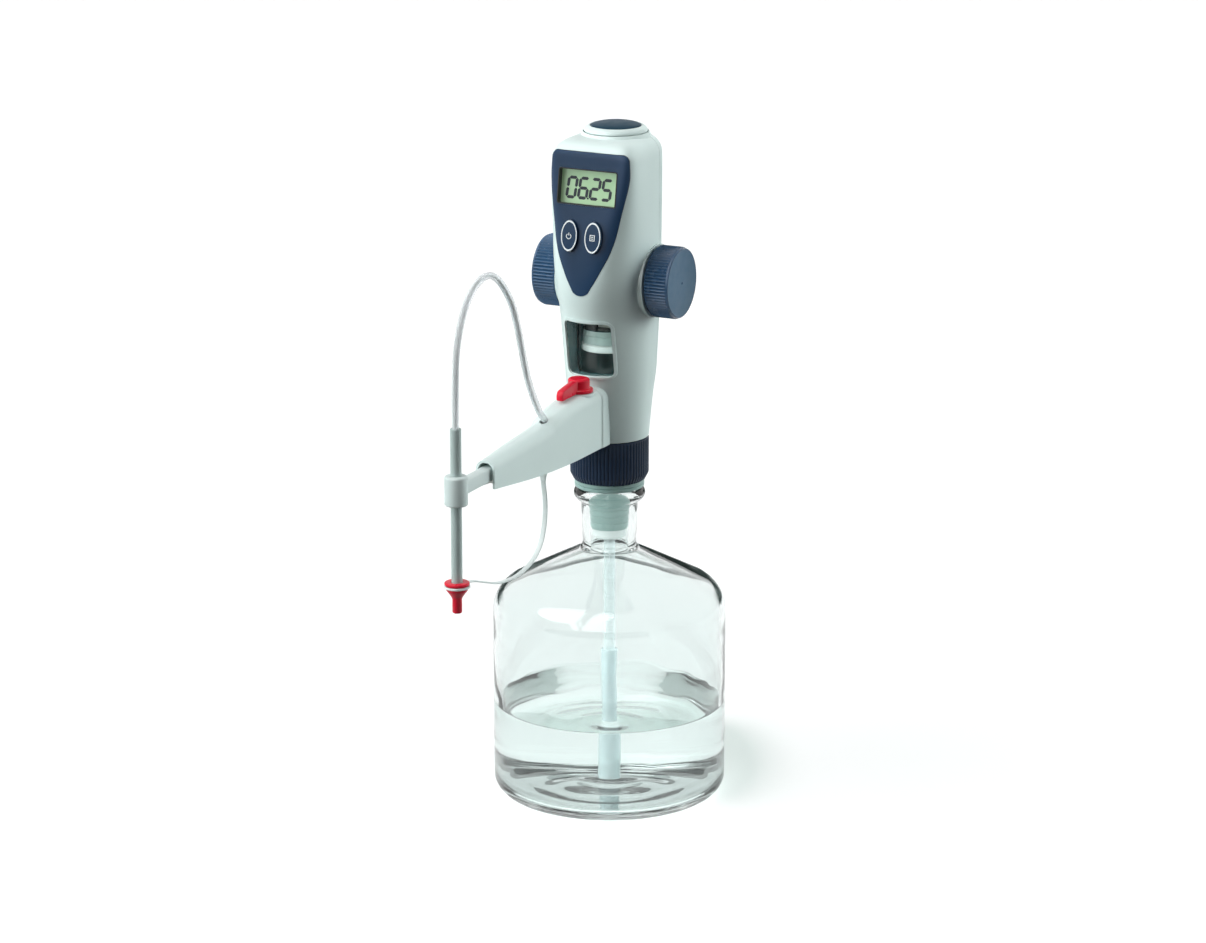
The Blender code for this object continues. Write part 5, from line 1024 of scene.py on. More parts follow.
form = housing_form("housing_body", housing_finish)
carve(form, "UNION", wheel_boss(1))
carve(form, "UNION", wheel_boss(-1))
DECK_COLLAR = [(0.0, 0.450), (0.0268, 0.450), (0.0262, 0.4560), (0.0250, 0.4598), (0.0238, 0.4628),
               (0.0229, 0.4645), (0.0224, 0.4650), (0.0220, 0.4648), (0.0219, 0.4630), (0.0, 0.4630)]
carve(form, "UNION", piece("deck_collar", turned(DECK_COLLAR, 120, (0.0, TOP_KEY_Y)), housing_finish))
arch_loops = []
for step in range(20):
    y = ARM_REAR_Y + ARCH_GAP + step * ARCH_STEP
    grow = ARCH_PROUD * min(1.0, step / 2) ** 0.5
    arch_loops.append([Vector((x, y, z)) for x, z in arm_arch(ARM_REAR_Y, -grow)])
carve(form, "UNION", piece("arm_socket", skinned(arch_loops), housing_finish))
carve(form, "DIFFERENCE", housing_form("housing_hollow", housing_finish, SHELL_WALL, FOOT_Z - 0.005,
                                       ROUGH_AROUND, ROUGH_STEP))
passage = [[Vector((x, y, z)) for x, z in arm_arch(ARM_REAR_Y, ARM_WALL + PASSAGE_FIT, PASSAGE_DROP)]
           for y in PASSAGE_ENDS]
carve(form, "DIFFERENCE", piece("arm_passage", skinned(passage), housing_finish))
stem_bore = piece("stem_bore", rod(STEM_BORE, 0.455, 0.466, 48, (0.0, TOP_KEY_Y)), housing_finish)
carve(form, "DIFFERENCE", stem_bore)
shaft_bore = piece("shaft_bore", rod(SHAFT_BORE, -OUTSIDE, OUTSIDE), housing_finish)
shaft_bore.matrix_world = Matrix.Translation((0.0, WHEEL_Y, WHEEL_Z)) @ Matrix.Rotation(math.pi / 2, 4, "Y")
carve(form, "DIFFERENCE", shaft_bore)

whole = rounded_box(OUTSIDE, 0.1, 0.6, 0.01)
rear = bpy.data.objects.new("housing_rear", form.data.copy())
scene.collection.objects.link(rear)
carve(rear, "INTERSECT", prism("behind_seam", whole, SEAM_Y + SEAM_GAP, OUTSIDE, housing_finish))
carve(rear, "DIFFERENCE", prism("cover_hole", cover_outline(PANEL_FIT), SEAM_Y, OUTSIDE, housing_finish))
front = bpy.data.objects.new("housing_front", form.data.copy())
scene.collection.objects.link(front)
carve(front, "INTERSECT", prism("before_seam", whole, -OUTSIDE, SEAM_Y, housing_finish))
bpy.data.objects.remove(form)
pocket = prism("panel_pocket", panel_outline(PANEL_FIT), -OUTSIDE, -SHELL_WALL, housing_finish)
carve(pocket, "DIFFERENCE", housing_form("pocket_floor", housing_finish, PANEL_DEPTH))
carve(front, "DIFFERENCE", pocket)
carve(front, "DIFFERENCE", prism("display_hole", display_outline(), -OUTSIDE, -SHELL_WALL, housing_finish))
lowered = prism("window_recess", window_outline(WINDOW_RIM), -OUTSIDE, -SHELL_WALL, housing_finish)
carve(lowered, "DIFFERENCE", housing_form("recess_floor", housing_finish, WINDOW_DEPTH))
carve(front, "DIFFERENCE", lowered)
carve(front, "DIFFERENCE", prism("window_hole", window_outline(), -OUTSIDE, WINDOW_BACK_Y, housing_finish))
window_lip = prism("window_lip", window_outline(LIP_WIDTH), -OUTSIDE, WINDOW_BACK_Y, housing_finish)
keep_skin(window_lip, housing_finish, -LIP_PROUD, LIP_PROUD)
lip_hole = prism("lip_hole", window_outline(PANEL_FIT), -OUTSIDE, LIP_BACK_Y, housing_finish)
carve(window_lip, "DIFFERENCE", lip_hole)
rounding = window_lip.modifiers.new("rounding", "BEVEL")
rounding.width = LIP_ROUND
rounding.segments = 3
rounding.limit_method = "ANGLE"
rounding.angle_limit = math.radians(50)
settle(window_lip)
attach(window_lip, "instrument")
for side in (-1, 1):
    carve(front, "DIFFERENCE", key_opening(side, housing_finish))
for shell, name in ((front, "front_shell"), (rear, "rear_shell")):
    settle(shell)
    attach(shell, "instrument")
    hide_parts(name)

# Front panel
# Dark blue shield-shaped panel, set a little proud in a pocket of the front shell, with a square opening for
# the display and two oval ones for the keys.
PANEL_PROUD = 0.0003
navy_finish = moulded("navy_polycarbonate", (0.009, 0.037, 0.092), 0.36, grain=1100.0, mottle=0.05,
                      Specular_IOR_Level=0.25)
panel = prism("shield_panel", panel_outline(), -OUTSIDE, -SHELL_WALL, navy_finish)
keep_skin(panel, navy_finish, -PANEL_PROUD, PANEL_DEPTH - PANEL_PROUD)
carve(panel, "DIFFERENCE", prism("panel_display_hole", display_outline(), -OUTSIDE, -SHELL_WALL, navy_finish))
for side in (-1, 1):
    carve(panel, "DIFFERENCE", key_opening(side, navy_finish))
settle(panel)
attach(panel, "instrument")
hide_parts("front_panel")

# Display
# Liquid crystal module deep in a recess lined with near-black as painted shade: yellow-green reflective glass,
# lightened by a faint painted glow, with dark slanted seven-segment figures, the volume given off so far.
LCD_RECESS = 0.005
FIGURE_HEIGHT = 0.0132
FIGURE_WIDTH = 0.0060
FIGURE_PITCH = 0.0086
FIGURE_SLANT = 0.10
FIGURES_RIGHT = 0.0155
FIGURES_DROP = 0.0008
FIGURE_BACK = -0.0002
FIGURE_FACE = 0.00006
POINT_RADIUS = 0.0007
STROKE = 0.0021
STROKE_GAP = 0.00012
FRAME_WALL = 0.0006
FRAME_CORNER = 0.0010
FRAME_FACE = -0.0001
SEGMENTS = {"0": "abcdef", "2": "abdeg", "5": "acdfg", "6": "acdefg"}
FIGURES = "0625"
# The faint emission is a painted glow that lightens the glass against the recess's shade.
lcd_finish, tree, shader = material("lcd_glass", 0.22, Emission_Color=(0.50, 0.82, 0.46, 1.0),
                                    Emission_Strength=0.10)
tint(tree, noise(tree, 90.0, 3.0), (0.36, 0.54, 0.31), (0.41, 0.58, 0.36), shader.inputs["Base Color"])
relief(tree, noise(tree, 2400.0), 0.00002, 0.2, shader)
dress(lcd_finish, "lcd_module")
figure_finish = moulded("lcd_figures", (0.012, 0.020, 0.030), 0.35)
# The near-black lining of the display's recess is painted shade for its dark rim.
recess_shade_finish = moulded("display_recess_shade", (0.010, 0.011, 0.014), 0.45)


def bar(start, end, width):
    """A six-sided segment between two points, in local (x, y)."""
    along = (Vector(end) - Vector(start)).normalized()
    side = Vector((-along.y, along.x)) * width / 2
    first, last = Vector(start) + along * STROKE_GAP, Vector(end) - along * STROKE_GAP
    nose = along * width / 2
    return [first, first + nose - side, last - nose - side, last, last - nose + side, first + nose + side]


def add_slab(shape, outline, bottom, top):
    """Add a flat slab with an (across, up) outline."""
    skinned([[(x, y, z) for x, y in outline] for z in (bottom, top)], shape=shape)


def banded(outer, inner, bottom, top):
    """A flat closed band between two (across, up) outlines."""
    levels = [(outer, bottom), (outer, top), (inner, top), (inner, bottom), (outer, bottom)]
    return skinned([[(x, y, z) for x, y in outline] for outline, z in levels], capped=False)


def figure_bars(left, digit):
    """The lit segments of one figure."""
    half, right, middle = FIGURE_HEIGHT / 2, left + FIGURE_WIDTH, 0.0
    spots = {"a": ((left, half), (right, half)), "b": ((right, middle), (right, half)),
             "c": ((right, -half), (right, middle)), "d": ((left, -half), (right, -half)),
             "e": ((left, -half), (left, middle)), "f": ((left, middle), (left, half)),
             "g": ((left, middle), (right, middle))}
    return [bar(*spots[key], STROKE) for key in SEGMENTS[digit]]


figures_shape = bmesh.new()
first_left = FIGURES_RIGHT - FIGURE_WIDTH - FIGURE_PITCH * (len(FIGURES) - 1)
for index, digit in enumerate(FIGURES):
    for outline in figure_bars(first_left + FIGURE_PITCH * index, digit):
        slanted = [(x + y * FIGURE_SLANT, y) for x, y in outline]
        add_slab(figures_shape, slanted, FIGURE_BACK, FIGURE_FACE)
point_x = first_left + FIGURE_PITCH * 2 - (FIGURE_PITCH - FIGURE_WIDTH) / 2 - FIGURE_SLANT * FIGURE_HEIGHT / 2
point = [(point_x + x, -FIGURE_HEIGHT / 2 + y) for x, y in oval(POINT_RADIUS, POINT_RADIUS, 16)]
add_slab(figures_shape, point, FIGURE_BACK, FIGURE_FACE)
figures = piece("display_figures", figures_shape, figure_finish)
figures.matrix_world = panel_place(DISPLAY_Z, LCD_RECESS) @ Matrix.Translation((0.0, -FIGURES_DROP, 0.0))
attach(figures, "instrument")
outer = rounded_box(DISPLAY_HALF_WIDTH, -DISPLAY_HALF_HEIGHT, DISPLAY_HALF_HEIGHT, DISPLAY_CORNER)
frame_half_height = DISPLAY_HALF_HEIGHT - FRAME_WALL
inner = rounded_box(DISPLAY_HALF_WIDTH - FRAME_WALL, -frame_half_height, frame_half_height, FRAME_CORNER)
display_recess_shade = piece("display_surround", banded(outer, inner, -LCD_RECESS, FRAME_FACE), recess_shade_finish)
display_recess_shade.matrix_world = panel_place(DISPLAY_Z)
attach(display_recess_shade, "instrument")
board_finish = moulded("board_mask", (0.02, 0.12, 0.05), 0.45, grain=600.0, mottle=0.12)
dress(board_finish, "circuit_board")

# Front keys
# Two domed oval keys of dark blue plastic, each printed with a white ring and a small plain sign: one
# switches on and off, the other holds the reading.
KEY_HALF_WIDTH = 0.006
KEY_HALF_HEIGHT = 0.0107
KEY_PROUD = 0.0025
KEY_DEPTH = 0.0037
KEY_RISE = 0.0003
KEY_EDGE = [(1.0, 0.0009), (0.985, 0.0004), (0.95, 0.0001), (0.88, 0.0)]
KEY_DOME = [(0.6, 0.6), (0.3, 0.9), (0.05, 1.0)]
SIGN_STROKE = 0.0005
SIGN_LAP = 0.2
SIGN_BACK = KEY_PROUD - 0.0003
SIGN_FACE = KEY_PROUD + KEY_RISE + 0.00008
POWER_RADIUS = 0.0017
POWER_DROP = 0.0003
POWER_TURNS = [math.radians(angle) for angle in range(40, 321, 20)]
POWER_SIGN = [
    [(POWER_RADIUS * math.sin(turn), POWER_RADIUS * math.cos(turn) - POWER_DROP) for turn in POWER_TURNS],
    [(0.0, 0.0004), (0.0, 0.0019)],
]
PAUSE_SIGN = [
    [(-0.0016, -0.0018), (0.0016, -0.0018), (0.0016, 0.0018), (-0.0016, 0.0018), (-0.0016, -0.0018)],
    [(-0.0007, -0.0006), (0.0007, -0.0006)],
    [(-0.0007, 0.0006), (0.0007, 0.0006)],
]
print_finish = moulded("white_print", (0.82, 0.84, 0.86), 0.5)


def key_outline(share):
    return oval(KEY_HALF_WIDTH * share, KEY_HALF_HEIGHT * share)


def line_band(shape, points, width, bottom, top):
    """Add a printed stroke along points."""
    for start, end in zip(points, points[1:]):
        along = (Vector(end) - Vector(start)).normalized()
        side = Vector((-along.y, along.x)) * width / 2
        lap = along * width * SIGN_LAP
        first, last = Vector(start) - lap, Vector(end) + lap
        add_slab(shape, [first - side, last - side, last + side, first + side], bottom, top)


key_levels = [(1.0, -KEY_DEPTH)]
key_levels += [(share, KEY_PROUD - drop) for share, drop in KEY_EDGE]
key_levels += [(share, KEY_PROUD + KEY_RISE * rise) for share, rise in KEY_DOME]
key_loops = [[Vector((x, y, height)) for x, y in key_outline(share)] for share, height in key_levels]
for name, side, body, strokes in (("key_power", -1, "power_key", POWER_SIGN),
                                  ("key_pause", 1, "pause_key", PAUSE_SIGN)):
    key = piece(name + "_cap", skinned(key_loops), navy_finish)
    key.matrix_world = key_place(side)
    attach(key, body)
    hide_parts(name)
    sign = banded(key_outline(0.965), key_outline(0.86), KEY_PROUD - 0.0006, KEY_PROUD + 0.0001)
    for stroke in strokes:
        line_band(sign, stroke, SIGN_STROKE, SIGN_BACK, SIGN_FACE)
    printed = piece(name + "_sign", sign, print_finish)
    printed.matrix_world = key_place(side)
    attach(printed, body)

# Top key
# Off-white ring key on the deck, with a dark blue domed cap. Pressing it sets the reading to zero.
DOME_RADIUS = 0.0172
DOME_EDGE = 0.0002
DOME_SINK = 0.0005
key_low, key_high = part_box("top_key")
cap_low, cap_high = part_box("top_key_cap")
RING_TOP_Z = key_high.z
ring_profile = [(0.0, key_low.z), (0.007, key_low.z), (0.007, 0.4648), (0.0208, 0.4648)]
ring_profile += arc((0.0208, 0.4656), 0.0008, -90, 0, 4)
ring_profile += [(0.0214, 0.4664), (0.0208, 0.4673), (0.0198, 0.4681), (0.0188, 0.4686), (0.0180, RING_TOP_Z),
                 (0.0176, RING_TOP_Z - 0.0002), (0.0175, 0.4671), (0.0, 0.4671)]
top_key = piece("zero_key_ring", turned(ring_profile, 96, (0.0, TOP_KEY_Y)), housing_finish)
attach(top_key, "clear_key")
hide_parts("top_key")
dome_edge_z = RING_TOP_Z - DOME_SINK
dome_profile = [(0.0, cap_low.z), (DOME_RADIUS - DOME_EDGE, cap_low.z), (DOME_RADIUS, cap_low.z + DOME_EDGE),
                (DOME_RADIUS, dome_edge_z)]
for angle in range(10, 91, 10):
    turn = math.radians(angle)
    dome_profile.append((DOME_RADIUS * math.cos(turn),
                         dome_edge_z + (cap_high.z - dome_edge_z) * math.sin(turn)))
dome_finish = moulded("dome_polycarbonate", (0.012, 0.042, 0.068), 0.42, grain=1100.0, mottle=0.05,
                      Specular_IOR_Level=0.06)
dome = piece("zero_key_dome", turned(dome_profile, 96, (0.0, TOP_KEY_Y)), dome_finish)
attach(dome, "clear_key")
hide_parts("top_key_cap")

# Hand wheels
# Two dark blue moulded wheels pressed on the ends of the cross shaft, finely ribbed for the fingers, with a
# flat matte face, lightened by a painted sheen, and the small mark of the mould's ejector in its middle.
WHEEL_RADIUS = 0.0246
WHEEL_INNER_X = 0.033
WHEEL_OUTER_X = 0.051
WHEEL_RIBS = 66
WHEEL_RIB_DEPTH = 0.0011
WHEEL_RIB_CREST = 1.6
WHEEL_BACK = [(0.0034, 0.0), (0.0225, 0.0), (0.0235, 0.0004), (0.0239, 0.0012)]
WHEEL_GRIP = [(0.996, WHEEL_INNER_X + 0.0016), (1.0, WHEEL_INNER_X + 0.0022),
              (1.0, WHEEL_OUTER_X - 0.0026), (0.994, WHEEL_OUTER_X - 0.0020)]
WHEEL_FACE = [(0.0240, 0.0017), (0.0240, 0.0010), (0.0237, 0.0003), (0.0231, 0.0), (0.0227, 0.0002),
              (0.0009, 0.0), (0.0007, 0.0004)]
FACE_DEPTH = 0.00015
FACE_INNER = 0.001
FACE_OUTER = 0.0226
wheel_finish = moulded("wheel_polypropylene", (0.034, 0.086, 0.172), 0.26, grain=1100.0, mottle=0.05,
                       Specular_IOR_Level=0.35)
# The face's lighter blue is a painted sheen; its higher roughness is its own matte finish.
wheel_face_sheen_finish = moulded("wheel_face_painted_sheen", (0.060, 0.135, 0.225), 0.50, grain=1100.0, mottle=0.05,
                      Specular_IOR_Level=0.25)
wheel_ribbed = ribbed_ring(WHEEL_RADIUS, WHEEL_RIBS, WHEEL_RIB_DEPTH, WHEEL_RIB_CREST)
smooth_edge = oval(1.0, 1.0, len(wheel_ribbed))
wheel_steps = [(smooth_edge, radius, WHEEL_INNER_X + rise) for radius, rise in WHEEL_BACK]
wheel_steps += [(wheel_ribbed, scale, x) for scale, x in WHEEL_GRIP]
wheel_steps += [(smooth_edge, radius, WHEEL_OUTER_X - drop) for radius, drop in WHEEL_FACE]
for name, side in (("hand_wheel_right", 1), ("hand_wheel_left", -1)):
    loops = [[Vector((side * x, WHEEL_Y + across * scale, WHEEL_Z + up * scale)) for across, up in outline]
             for outline, scale, x in wheel_steps]
    wheel = piece(name + "_grip", skinned(loops), wheel_finish, 35)
    # Faces of the flat face, all but the ejector mark, take the painted sheen.
    wheel.data.materials.append(wheel_face_sheen_finish)
    for face in wheel.data.polygons:
        reach = math.hypot(face.center.y - WHEEL_Y, face.center.z - WHEEL_Z)
        if abs(face.center.x) > WHEEL_OUTER_X - FACE_DEPTH and FACE_INNER < reach < FACE_OUTER:
            face.material_index = 1
    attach(wheel, "wheels")
    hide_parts(name)

# Drive
# Steel shaft in acetal bushes, a pinion, a reduction gear on its pin and a pressed steel frame behind the
# cylinder. They turn the wheels' motion into the piston's stroke and lie inside the housing.
steel_finish, tree, shader = material("turned_steel", 0.3, Metallic=1.0)
tint(tree, noise(tree, 70.0), (0.55, 0.56, 0.57), (0.66, 0.67, 0.68), shader.inputs["Base Color"])
vary(tree, noise(tree, 500.0, 2.0, (1.0, 1.0, 8.0)), 0.22, 0.4, shader.inputs["Roughness"])
acetal_finish = moulded("acetal", (0.78, 0.77, 0.72), 0.42, grain=900.0)
dress(steel_finish, "wheel_shaft", "idler_pin", "gear_frame", "valve_spindle")
dress(acetal_finish, "shaft_bush_left", "shaft_bush_right", "drive_pinion", "reduction_gear", "piston_rod",
      "bar_guide")

# Cells and their door
# Two round cells in a grey tray behind the circuit board, under a door in the rear shell.
cell_finish, tree, shader = material("cell_wrap", 0.32, Metallic=0.6)
tint(tree, noise(tree, 45.0), (0.09, 0.09, 0.10), (0.16, 0.16, 0.17), shader.inputs["Base Color"])
vary(tree, noise(tree, 300.0), 0.25, 0.4, shader.inputs["Roughness"])
dress(cell_finish, "cell_left", "cell_right")
dress(grey_finish, "cell_tray")
door = prism("cell_door_plate", cover_outline(), SEAM_Y, OUTSIDE, housing_finish)
keep_skin(door, housing_finish, 0.0, SHELL_WALL, ROUGH_AROUND, ROUGH_STEP)
settle(door)
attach(door, "cell_door")
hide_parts("battery_cover")

# Sight window, cylinder and piston
# A clear pane in the front shell shows the glass cylinder in its tunnel and cradle, both dark with painted
# shade, the white lip seal of the piston, a dark band on its top that is a painted reflection, and its grey
# body.
PANE_BACK = 0.0022
CYLINDER_Y = -0.004
CYLINDER_AXIS = (0.0, CYLINDER_Y)
CYLINDER_BORE = 0.0175
CYLINDER_WALL = 0.0025
CYLINDER_EDGE = 0.0006
TUNNEL_FRONT_Y = -0.0330
TUNNEL_BACK_Y = -0.0150
TUNNEL_INNER = 0.0004
TUNNEL_OUTER = 0.0014
TUNNEL_INSET = 0.0024
TUNNEL_FIT = 0.0027
CRADLE_INNER = 0.0204
CRADLE_OUTER = 0.0214
CRADLE_LIFT = 0.001
CRADLE_TOP_Z = 0.3440
SEAL_FIT = 0.0003
PISTON_FIT = 0.0012
PISTON_EDGE = [(0.0006, 0.0), (0.0, 0.0006), (0.0, 0.0030), (0.0005, 0.0034), (0.0005, 0.0042), (0.0, 0.0046)]
PISTON_LIGHT_BAND = 0.009
cylinder_low, cylinder_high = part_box("glass_cylinder")
seal_low, seal_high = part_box("piston_seal")
head_low, head_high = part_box("piston_head")
pane_finish, tree, shader = material("window_acrylic", 0.02, Transmission_Weight=1.0, IOR=1.12)
tint(tree, noise(tree, 30.0), (0.93, 0.96, 0.95), (0.97, 0.98, 0.98), shader.inputs["Base Color"])
relief(tree, noise(tree, 40.0, 1.0), 0.0002, 0.2, shader)
pane = prism("window_pane", window_outline(-PANEL_FIT), -OUTSIDE, WINDOW_BACK_Y, pane_finish)
keep_skin(pane, pane_finish, WINDOW_DEPTH, PANE_BACK)
settle(pane)
pane.visible_shadow = False
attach(pane, "instrument")
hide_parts("sight_window")
# The tunnel's dark teal is painted shade for the window's dim inside.
tunnel_shade_finish, tree, shader = material("window_tunnel", 0.08, Coat_Weight=0.6)
tint(tree, noise(tree, 60.0), (0.060, 0.135, 0.140), (0.085, 0.175, 0.180), shader.inputs["Base Color"])
relief(tree, noise(tree, 120.0), 0.00005, 0.2, shader)
tunnel_levels = [(TUNNEL_INNER, TUNNEL_FRONT_Y), (TUNNEL_OUTER, TUNNEL_FRONT_Y),
                 (TUNNEL_OUTER, TUNNEL_BACK_Y), (TUNNEL_INNER, TUNNEL_BACK_Y), (TUNNEL_INNER, TUNNEL_FRONT_Y)]
tunnel_loops = [[Vector((x, y, z)) for x, z in window_outline(grow)] for grow, y in tunnel_levels]
tunnel = piece("window_tunnel", skinned(tunnel_loops, capped=False), tunnel_shade_finish)
carve(tunnel, "INTERSECT", housing_form("tunnel_face", tunnel_shade_finish, TUNNEL_INSET, FOOT_Z - CUT_PAST))
bore = rod(CYLINDER_BORE + TUNNEL_FIT, 0.28, 0.36, 96, CYLINDER_AXIS)
carve(tunnel, "DIFFERENCE", piece("tunnel_bore", bore, tunnel_shade_finish))
settle(tunnel)
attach(tunnel, "instrument")
cylinder_finish, tree, shader = material("cylinder_glass", 0.0, Transmission_Weight=1.0, IOR=1.36)
tint(tree, noise(tree, 20.0), (0.90, 0.96, 0.94), (0.95, 0.98, 0.97), shader.inputs["Base Color"])
relief(tree, noise(tree, 30.0, 1.0, (1.0, 1.0, 0.3)), 0.0002, 0.2, shader)
cylinder_shape = open_tube(CYLINDER_BORE + CYLINDER_WALL, CYLINDER_BORE, cylinder_low.z, cylinder_high.z,
                           CYLINDER_EDGE, 96, CYLINDER_AXIS)
cylinder = piece("metering_cylinder", cylinder_shape, cylinder_finish)
cylinder.visible_shadow = False
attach(cylinder, "instrument")
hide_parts("glass_cylinder")
# The cradle's dark teal is painted shade behind the cylinder.
cradle_shade_finish = moulded("cradle_painted_shade", (0.034, 0.115, 0.125), 0.30)
cradle_outline = arc(CYLINDER_AXIS, CRADLE_INNER, -20, 200, 44)
cradle_outline += arc(CYLINDER_AXIS, CRADLE_OUTER, 200, -20, 44)
cradle_loops = [[Vector((x, y, z)) for x, y in cradle_outline]
                for z in (cylinder_low.z + CRADLE_LIFT, CRADLE_TOP_Z)]
cradle = piece("cylinder_cradle", skinned(cradle_loops), cradle_shade_finish)
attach(cradle, "instrument")
lip = CYLINDER_BORE - SEAL_FIT
seal_profile = [(0.0, seal_high.z), (lip - 0.0008, seal_high.z), (lip, seal_high.z - 0.0006),
                (lip, seal_low.z + 0.0016), (lip - 0.0004, seal_low.z + 0.0006), (lip - 0.0014, seal_low.z),
                (0.0, seal_low.z)]
lip_seal = piece("piston_lip_seal", turned(seal_profile, 96, CYLINDER_AXIS), waxy_finish)
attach(lip_seal, "piston")
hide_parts("piston_seal")
piston_finish = moulded("piston_light_plastic", (0.40, 0.49, 0.475), 0.30)
# The dark band on the piston's top is a painted reflection.
piston_reflection_finish = moulded("piston_painted_reflection", (0.006, 0.030, 0.036), 0.25)
wall = CYLINDER_BORE - PISTON_FIT
head_profile = [(0.0, head_high.z)]
head_profile += [(wall - inward, head_high.z - drop) for inward, drop in PISTON_EDGE]
head_profile += [(wall, head_low.z), (0.0, head_low.z)]
piston_body = piece("piston_body", turned(head_profile, 96, CYLINDER_AXIS), piston_finish)
# Faces above the grey body take the painted reflection.
piston_body.data.materials.append(piston_reflection_finish)
for face in piston_body.data.polygons:
    if face.center.z > head_low.z + PISTON_LIGHT_BAND:
        face.material_index = 1
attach(piston_body, "piston")
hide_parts("piston_head")
dress(grey_finish, "cylinder_head")
dress(waxy_finish, "cylinder_seal", "valve_block", "hose_fitting")

# Arm
# Off-white hollow cover, open below, that clips over the valve block's beam and against the housing's arch.
# It narrows and bows down to its end, where the slide bar comes out.
ARM_STEPS = 56
LEVER_Y = -0.0475
SEAT_Z = 0.2963
SEAT_BORE = 0.004
HOSE_SEAT = Vector((0.0, -0.0962, 0.2835))
HOSE_HOLE = 0.0029
arm_loops = []
for step in range(ARM_STEPS + 1):
    y = ARM_REAR_Y + (ARM_END_Y - ARM_REAR_Y) * step / ARM_STEPS
    section = arm_arch(y, 0.0) + list(reversed(arm_arch(y, ARM_WALL)))
    arm_loops.append([Vector((x, y, z)) for x, z in section])
arm = piece("arm_hood", skinned(arm_loops), housing_finish)
seat_profile = [(0.0, SEAT_Z - 0.002), (0.0106, SEAT_Z - 0.002), (0.0104, SEAT_Z - 0.0003), (0.0100, SEAT_Z),
                (0.0, SEAT_Z)]
carve(arm, "UNION", piece("lever_seat", turned(seat_profile, 72, (0.0, LEVER_Y)), housing_finish))
carve(arm, "DIFFERENCE", piece("seat_bore", rod(SEAT_BORE, 0.28, 0.31, 48, (0.0, LEVER_Y)), housing_finish))
hose_exit = Vector((0.0, *HOSE_ROUTE[2])) - HOSE_SEAT
hole = piece("hose_hole", rod(HOSE_HOLE, 0.0, hose_exit.length), housing_finish)
hole.matrix_world = (Matrix.Translation(HOSE_SEAT)
                     @ Vector((0.0, 0.0, 1.0)).rotation_difference(hose_exit).to_matrix().to_4x4())
carve(arm, "DIFFERENCE", hole)
settle(arm)
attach(arm, "instrument")
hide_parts("arm_cover")

# Valve lever
# Red moulded lever on the valve's spindle: a round hub with a foot flange and a narrow wing that points along
# the flow. A quarter turn sends the liquid back to the bottle.
LEVER_TOP_Z = 0.306
LEVER_TIP_Y = -0.077
LEVER_LIFT = 0.0004
FLANGE_RADIUS = 0.0092
FLANGE_ROUND = 0.0004
HUB_RADIUS = 0.0074
HUB_ROUND = 0.0016
HUB_FILLET = 0.0006
WING_MIDDLE = (-0.062, 0.3005)
WING_REACH = 0.012
WING_HEIGHT = 0.005
WING_TIP = 0.004
WING_SIDES = [(-0.0026, 0.0008), (-0.0023, 0.0002), (-0.0019, 0.0), (0.0019, 0.0), (0.0023, 0.0002),
              (0.0026, 0.0008)]
red_finish = moulded("red_polypropylene", (0.70, 0.006, 0.030), 0.30, grain=900.0, mottle=0.05,
                     Specular_IOR_Level=0.22)
foot_z = SEAT_Z + LEVER_LIFT
hub_profile = [(0.0, foot_z), (FLANGE_RADIUS, foot_z)]
hub_profile += arc((FLANGE_RADIUS, foot_z + FLANGE_ROUND), FLANGE_ROUND, -90, 0, 3)
hub_profile += arc((FLANGE_RADIUS, foot_z + 0.0018), FLANGE_ROUND, 0, 90, 3)
hub_profile += arc((HUB_RADIUS + HUB_FILLET, foot_z + 0.0028), HUB_FILLET, 270, 180, 4)
hub_profile += arc((HUB_RADIUS - HUB_ROUND, LEVER_TOP_Z - HUB_ROUND), HUB_ROUND, 0, 90, 6)
hub_profile += [(0.0, LEVER_TOP_Z)]
lever = piece("flow_lever", turned(hub_profile, 72, (0.0, LEVER_Y)), red_finish)
wing = [(LEVER_Y, foot_z), (LEVER_Y, LEVER_TOP_Z - 0.0006), (-0.060, LEVER_TOP_Z - 0.0009), (-0.069, 0.3041)]
wing += arc((LEVER_TIP_Y + WING_TIP, 0.2995), WING_TIP, 90, 180, 8)
wing += [(LEVER_TIP_Y, foot_z + 0.0008), (LEVER_TIP_Y + 0.0008, foot_z)]
wing_loops = []
for x, drawn_in in WING_SIDES:
    wing_loops.append([Vector((x, y + (WING_MIDDLE[0] - y) * drawn_in / WING_REACH,
                               z + (WING_MIDDLE[1] - z) * drawn_in / WING_HEIGHT)) for y, z in wing])
carve(lever, "UNION", piece("lever_wing", skinned(wing_loops), red_finish))
settle(lever, 35)
lever.visible_glossy = False
lever.visible_transmission = False
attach(lever, "lever")
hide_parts("valve_lever")

# Slide bar
# Light grey bar that slides in a guide in the arm, with a ring that grips the guide tube.
TUBE_Y = -0.2255
TUBE_AXIS = (0.0, TUBE_Y)
RING_BORE = 0.0039
RING_BOTTOM_Z = 0.2635
RING_TOP = 0.283
BAR_ENDS = (TUBE_Y + 0.0043, -0.200, -0.118)
bar_finish = moulded("bar_polypropylene", (0.62, 0.69, 0.68), 0.42)
holder_profile = [(RING_BORE, RING_BOTTOM_Z), (0.0070, RING_BOTTOM_Z)]
holder_profile += arc((0.0066, RING_BOTTOM_Z + 0.0010), 0.0010, -90, 0, 5)
holder_profile += arc((0.0060, RING_TOP - 0.0016), 0.0016, 0, 90, 6)
holder_profile += [(RING_BORE, RING_TOP), (RING_BORE, RING_BOTTOM_Z)]
bar_ring = piece("tube_holder", turned(holder_profile, 72, TUBE_AXIS), bar_finish)
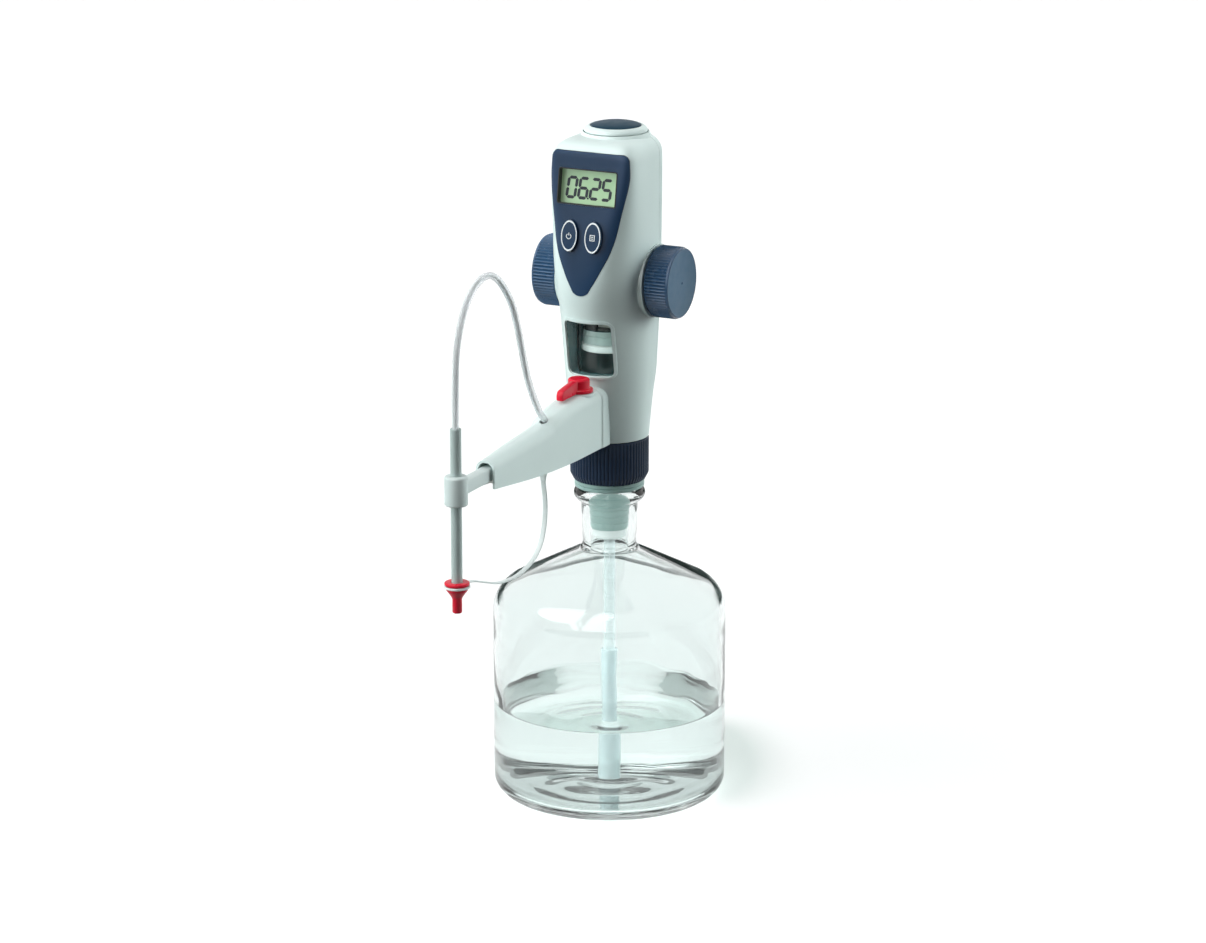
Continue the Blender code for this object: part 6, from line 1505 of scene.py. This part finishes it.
bar_section = [(0.004, 0.2696), (0.0036, 0.2692), (-0.0036, 0.2692), (-0.004, 0.2696), (-0.004, 0.2768),
               (-0.0035, 0.2776), (-0.0025, 0.2780), (0.0025, 0.2780), (0.0035, 0.2776), (0.004, 0.2768)]
bar_loops = [[Vector((x, y, z)) for x, z in bar_section] for y in BAR_ENDS]
carve(bar_ring, "UNION", piece("bar_run", skinned(bar_loops), bar_finish))
settle(bar_ring, 35)
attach(bar_ring, "slider")
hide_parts("slide_bar")

# Guide tube and tip
# Grey tube that holds the hose upright in the ring, with the fine white tip of the hose at its foot.
GUIDE_RADIUS = 0.0036
GUIDE_BORE = 0.0027
GUIDE_EDGE = 0.0004
guide_low, guide_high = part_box("guide_tube")
guide_finish = moulded("guide_tube_plastic", (0.40, 0.47, 0.46), 0.40)
guide_shape = open_tube(GUIDE_RADIUS, GUIDE_BORE, guide_low.z, guide_high.z, GUIDE_EDGE, 48, TUBE_AXIS)
guide = piece("upright_tube", guide_shape, guide_finish)
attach(guide, "tube")
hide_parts("guide_tube")
dress(waxy_finish, "discharge_tip")

# Screw cap and strap ends
# Red cap screwed over the tip, with a wide flange, a groove for the strap's ring and a slim nose. The strap
# ends in that ring and in a root that hooks under the arm.
CAP_TOP_Z = 0.212
LOOP_RADIUS = 0.0086
LOOP_BORE = 0.0067
LOOP_EDGE = 0.0003
ROOT_THICKNESS = 0.0016
ROOT_GROWTH = 0.0012
ROOT_ROUNDING = 0.0005
cap_profile = [(0.0, 0.1977), (0.0026, 0.1977), (0.0026, 0.2057), (0.0039, 0.2057),
               (0.0039, CAP_TOP_Z - 0.0003), (0.0042, CAP_TOP_Z), (0.0074, CAP_TOP_Z)]
cap_profile += arc((0.0074, CAP_TOP_Z - 0.0008), 0.0008, 90, 0, 4) + arc((0.0076, 0.2106), 0.0006, 0, -90, 3)
cap_profile += [(0.0064, 0.2100), (0.0064, 0.2078), (0.0068, 0.2078), (0.0071, 0.2075), (0.0070, 0.2066),
                (0.0058, 0.2050), (0.0044, 0.2031), (0.0036, 0.2018), (0.0032, 0.2006), (0.0032, 0.1920),
                (0.0028, 0.1914), (0.0, 0.1914)]
cap = piece("tip_cap", turned(cap_profile, 72, TUBE_AXIS), red_finish)
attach(cap, "cap")
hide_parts("screw_cap")
ring_low, ring_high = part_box("strap_ring")
loop_shape = open_tube(LOOP_RADIUS, LOOP_BORE, ring_low.z, ring_high.z, LOOP_EDGE, 64, TUBE_AXIS)
loop_ring = piece("strap_loop", loop_shape, strap_finish)
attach(loop_ring, "cap")
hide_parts("strap_ring")
root_low, root_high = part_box("strap_anchor")
root_levels = [(root_low.z, STRAP_WIDTH / 2), (root_low.z + 0.003, STRAP_WIDTH / 2 + 0.0004),
               (root_low.z + 0.007, STRAP_WIDTH / 2 + 0.0016), (root_high.z - 0.002, 0.0048),
               (root_high.z, 0.0050)]
root_loops = []
for level, half in root_levels:
    share = (level - root_low.z) / (root_high.z - root_low.z)
    middle = STRAP_ROUTE[0][0] + ((root_low.y + root_high.y) / 2 - STRAP_ROUTE[0][0]) * share
    section = band_section(2 * half, ROOT_THICKNESS + ROOT_GROWTH * share, ROOT_ROUNDING)
    root_loops.append([Vector((x, middle + y, level)) for x, y in section])
strap_root = piece("strap_root", skinned(root_loops), strap_finish)
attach(strap_root, "instrument")
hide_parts("strap_anchor")
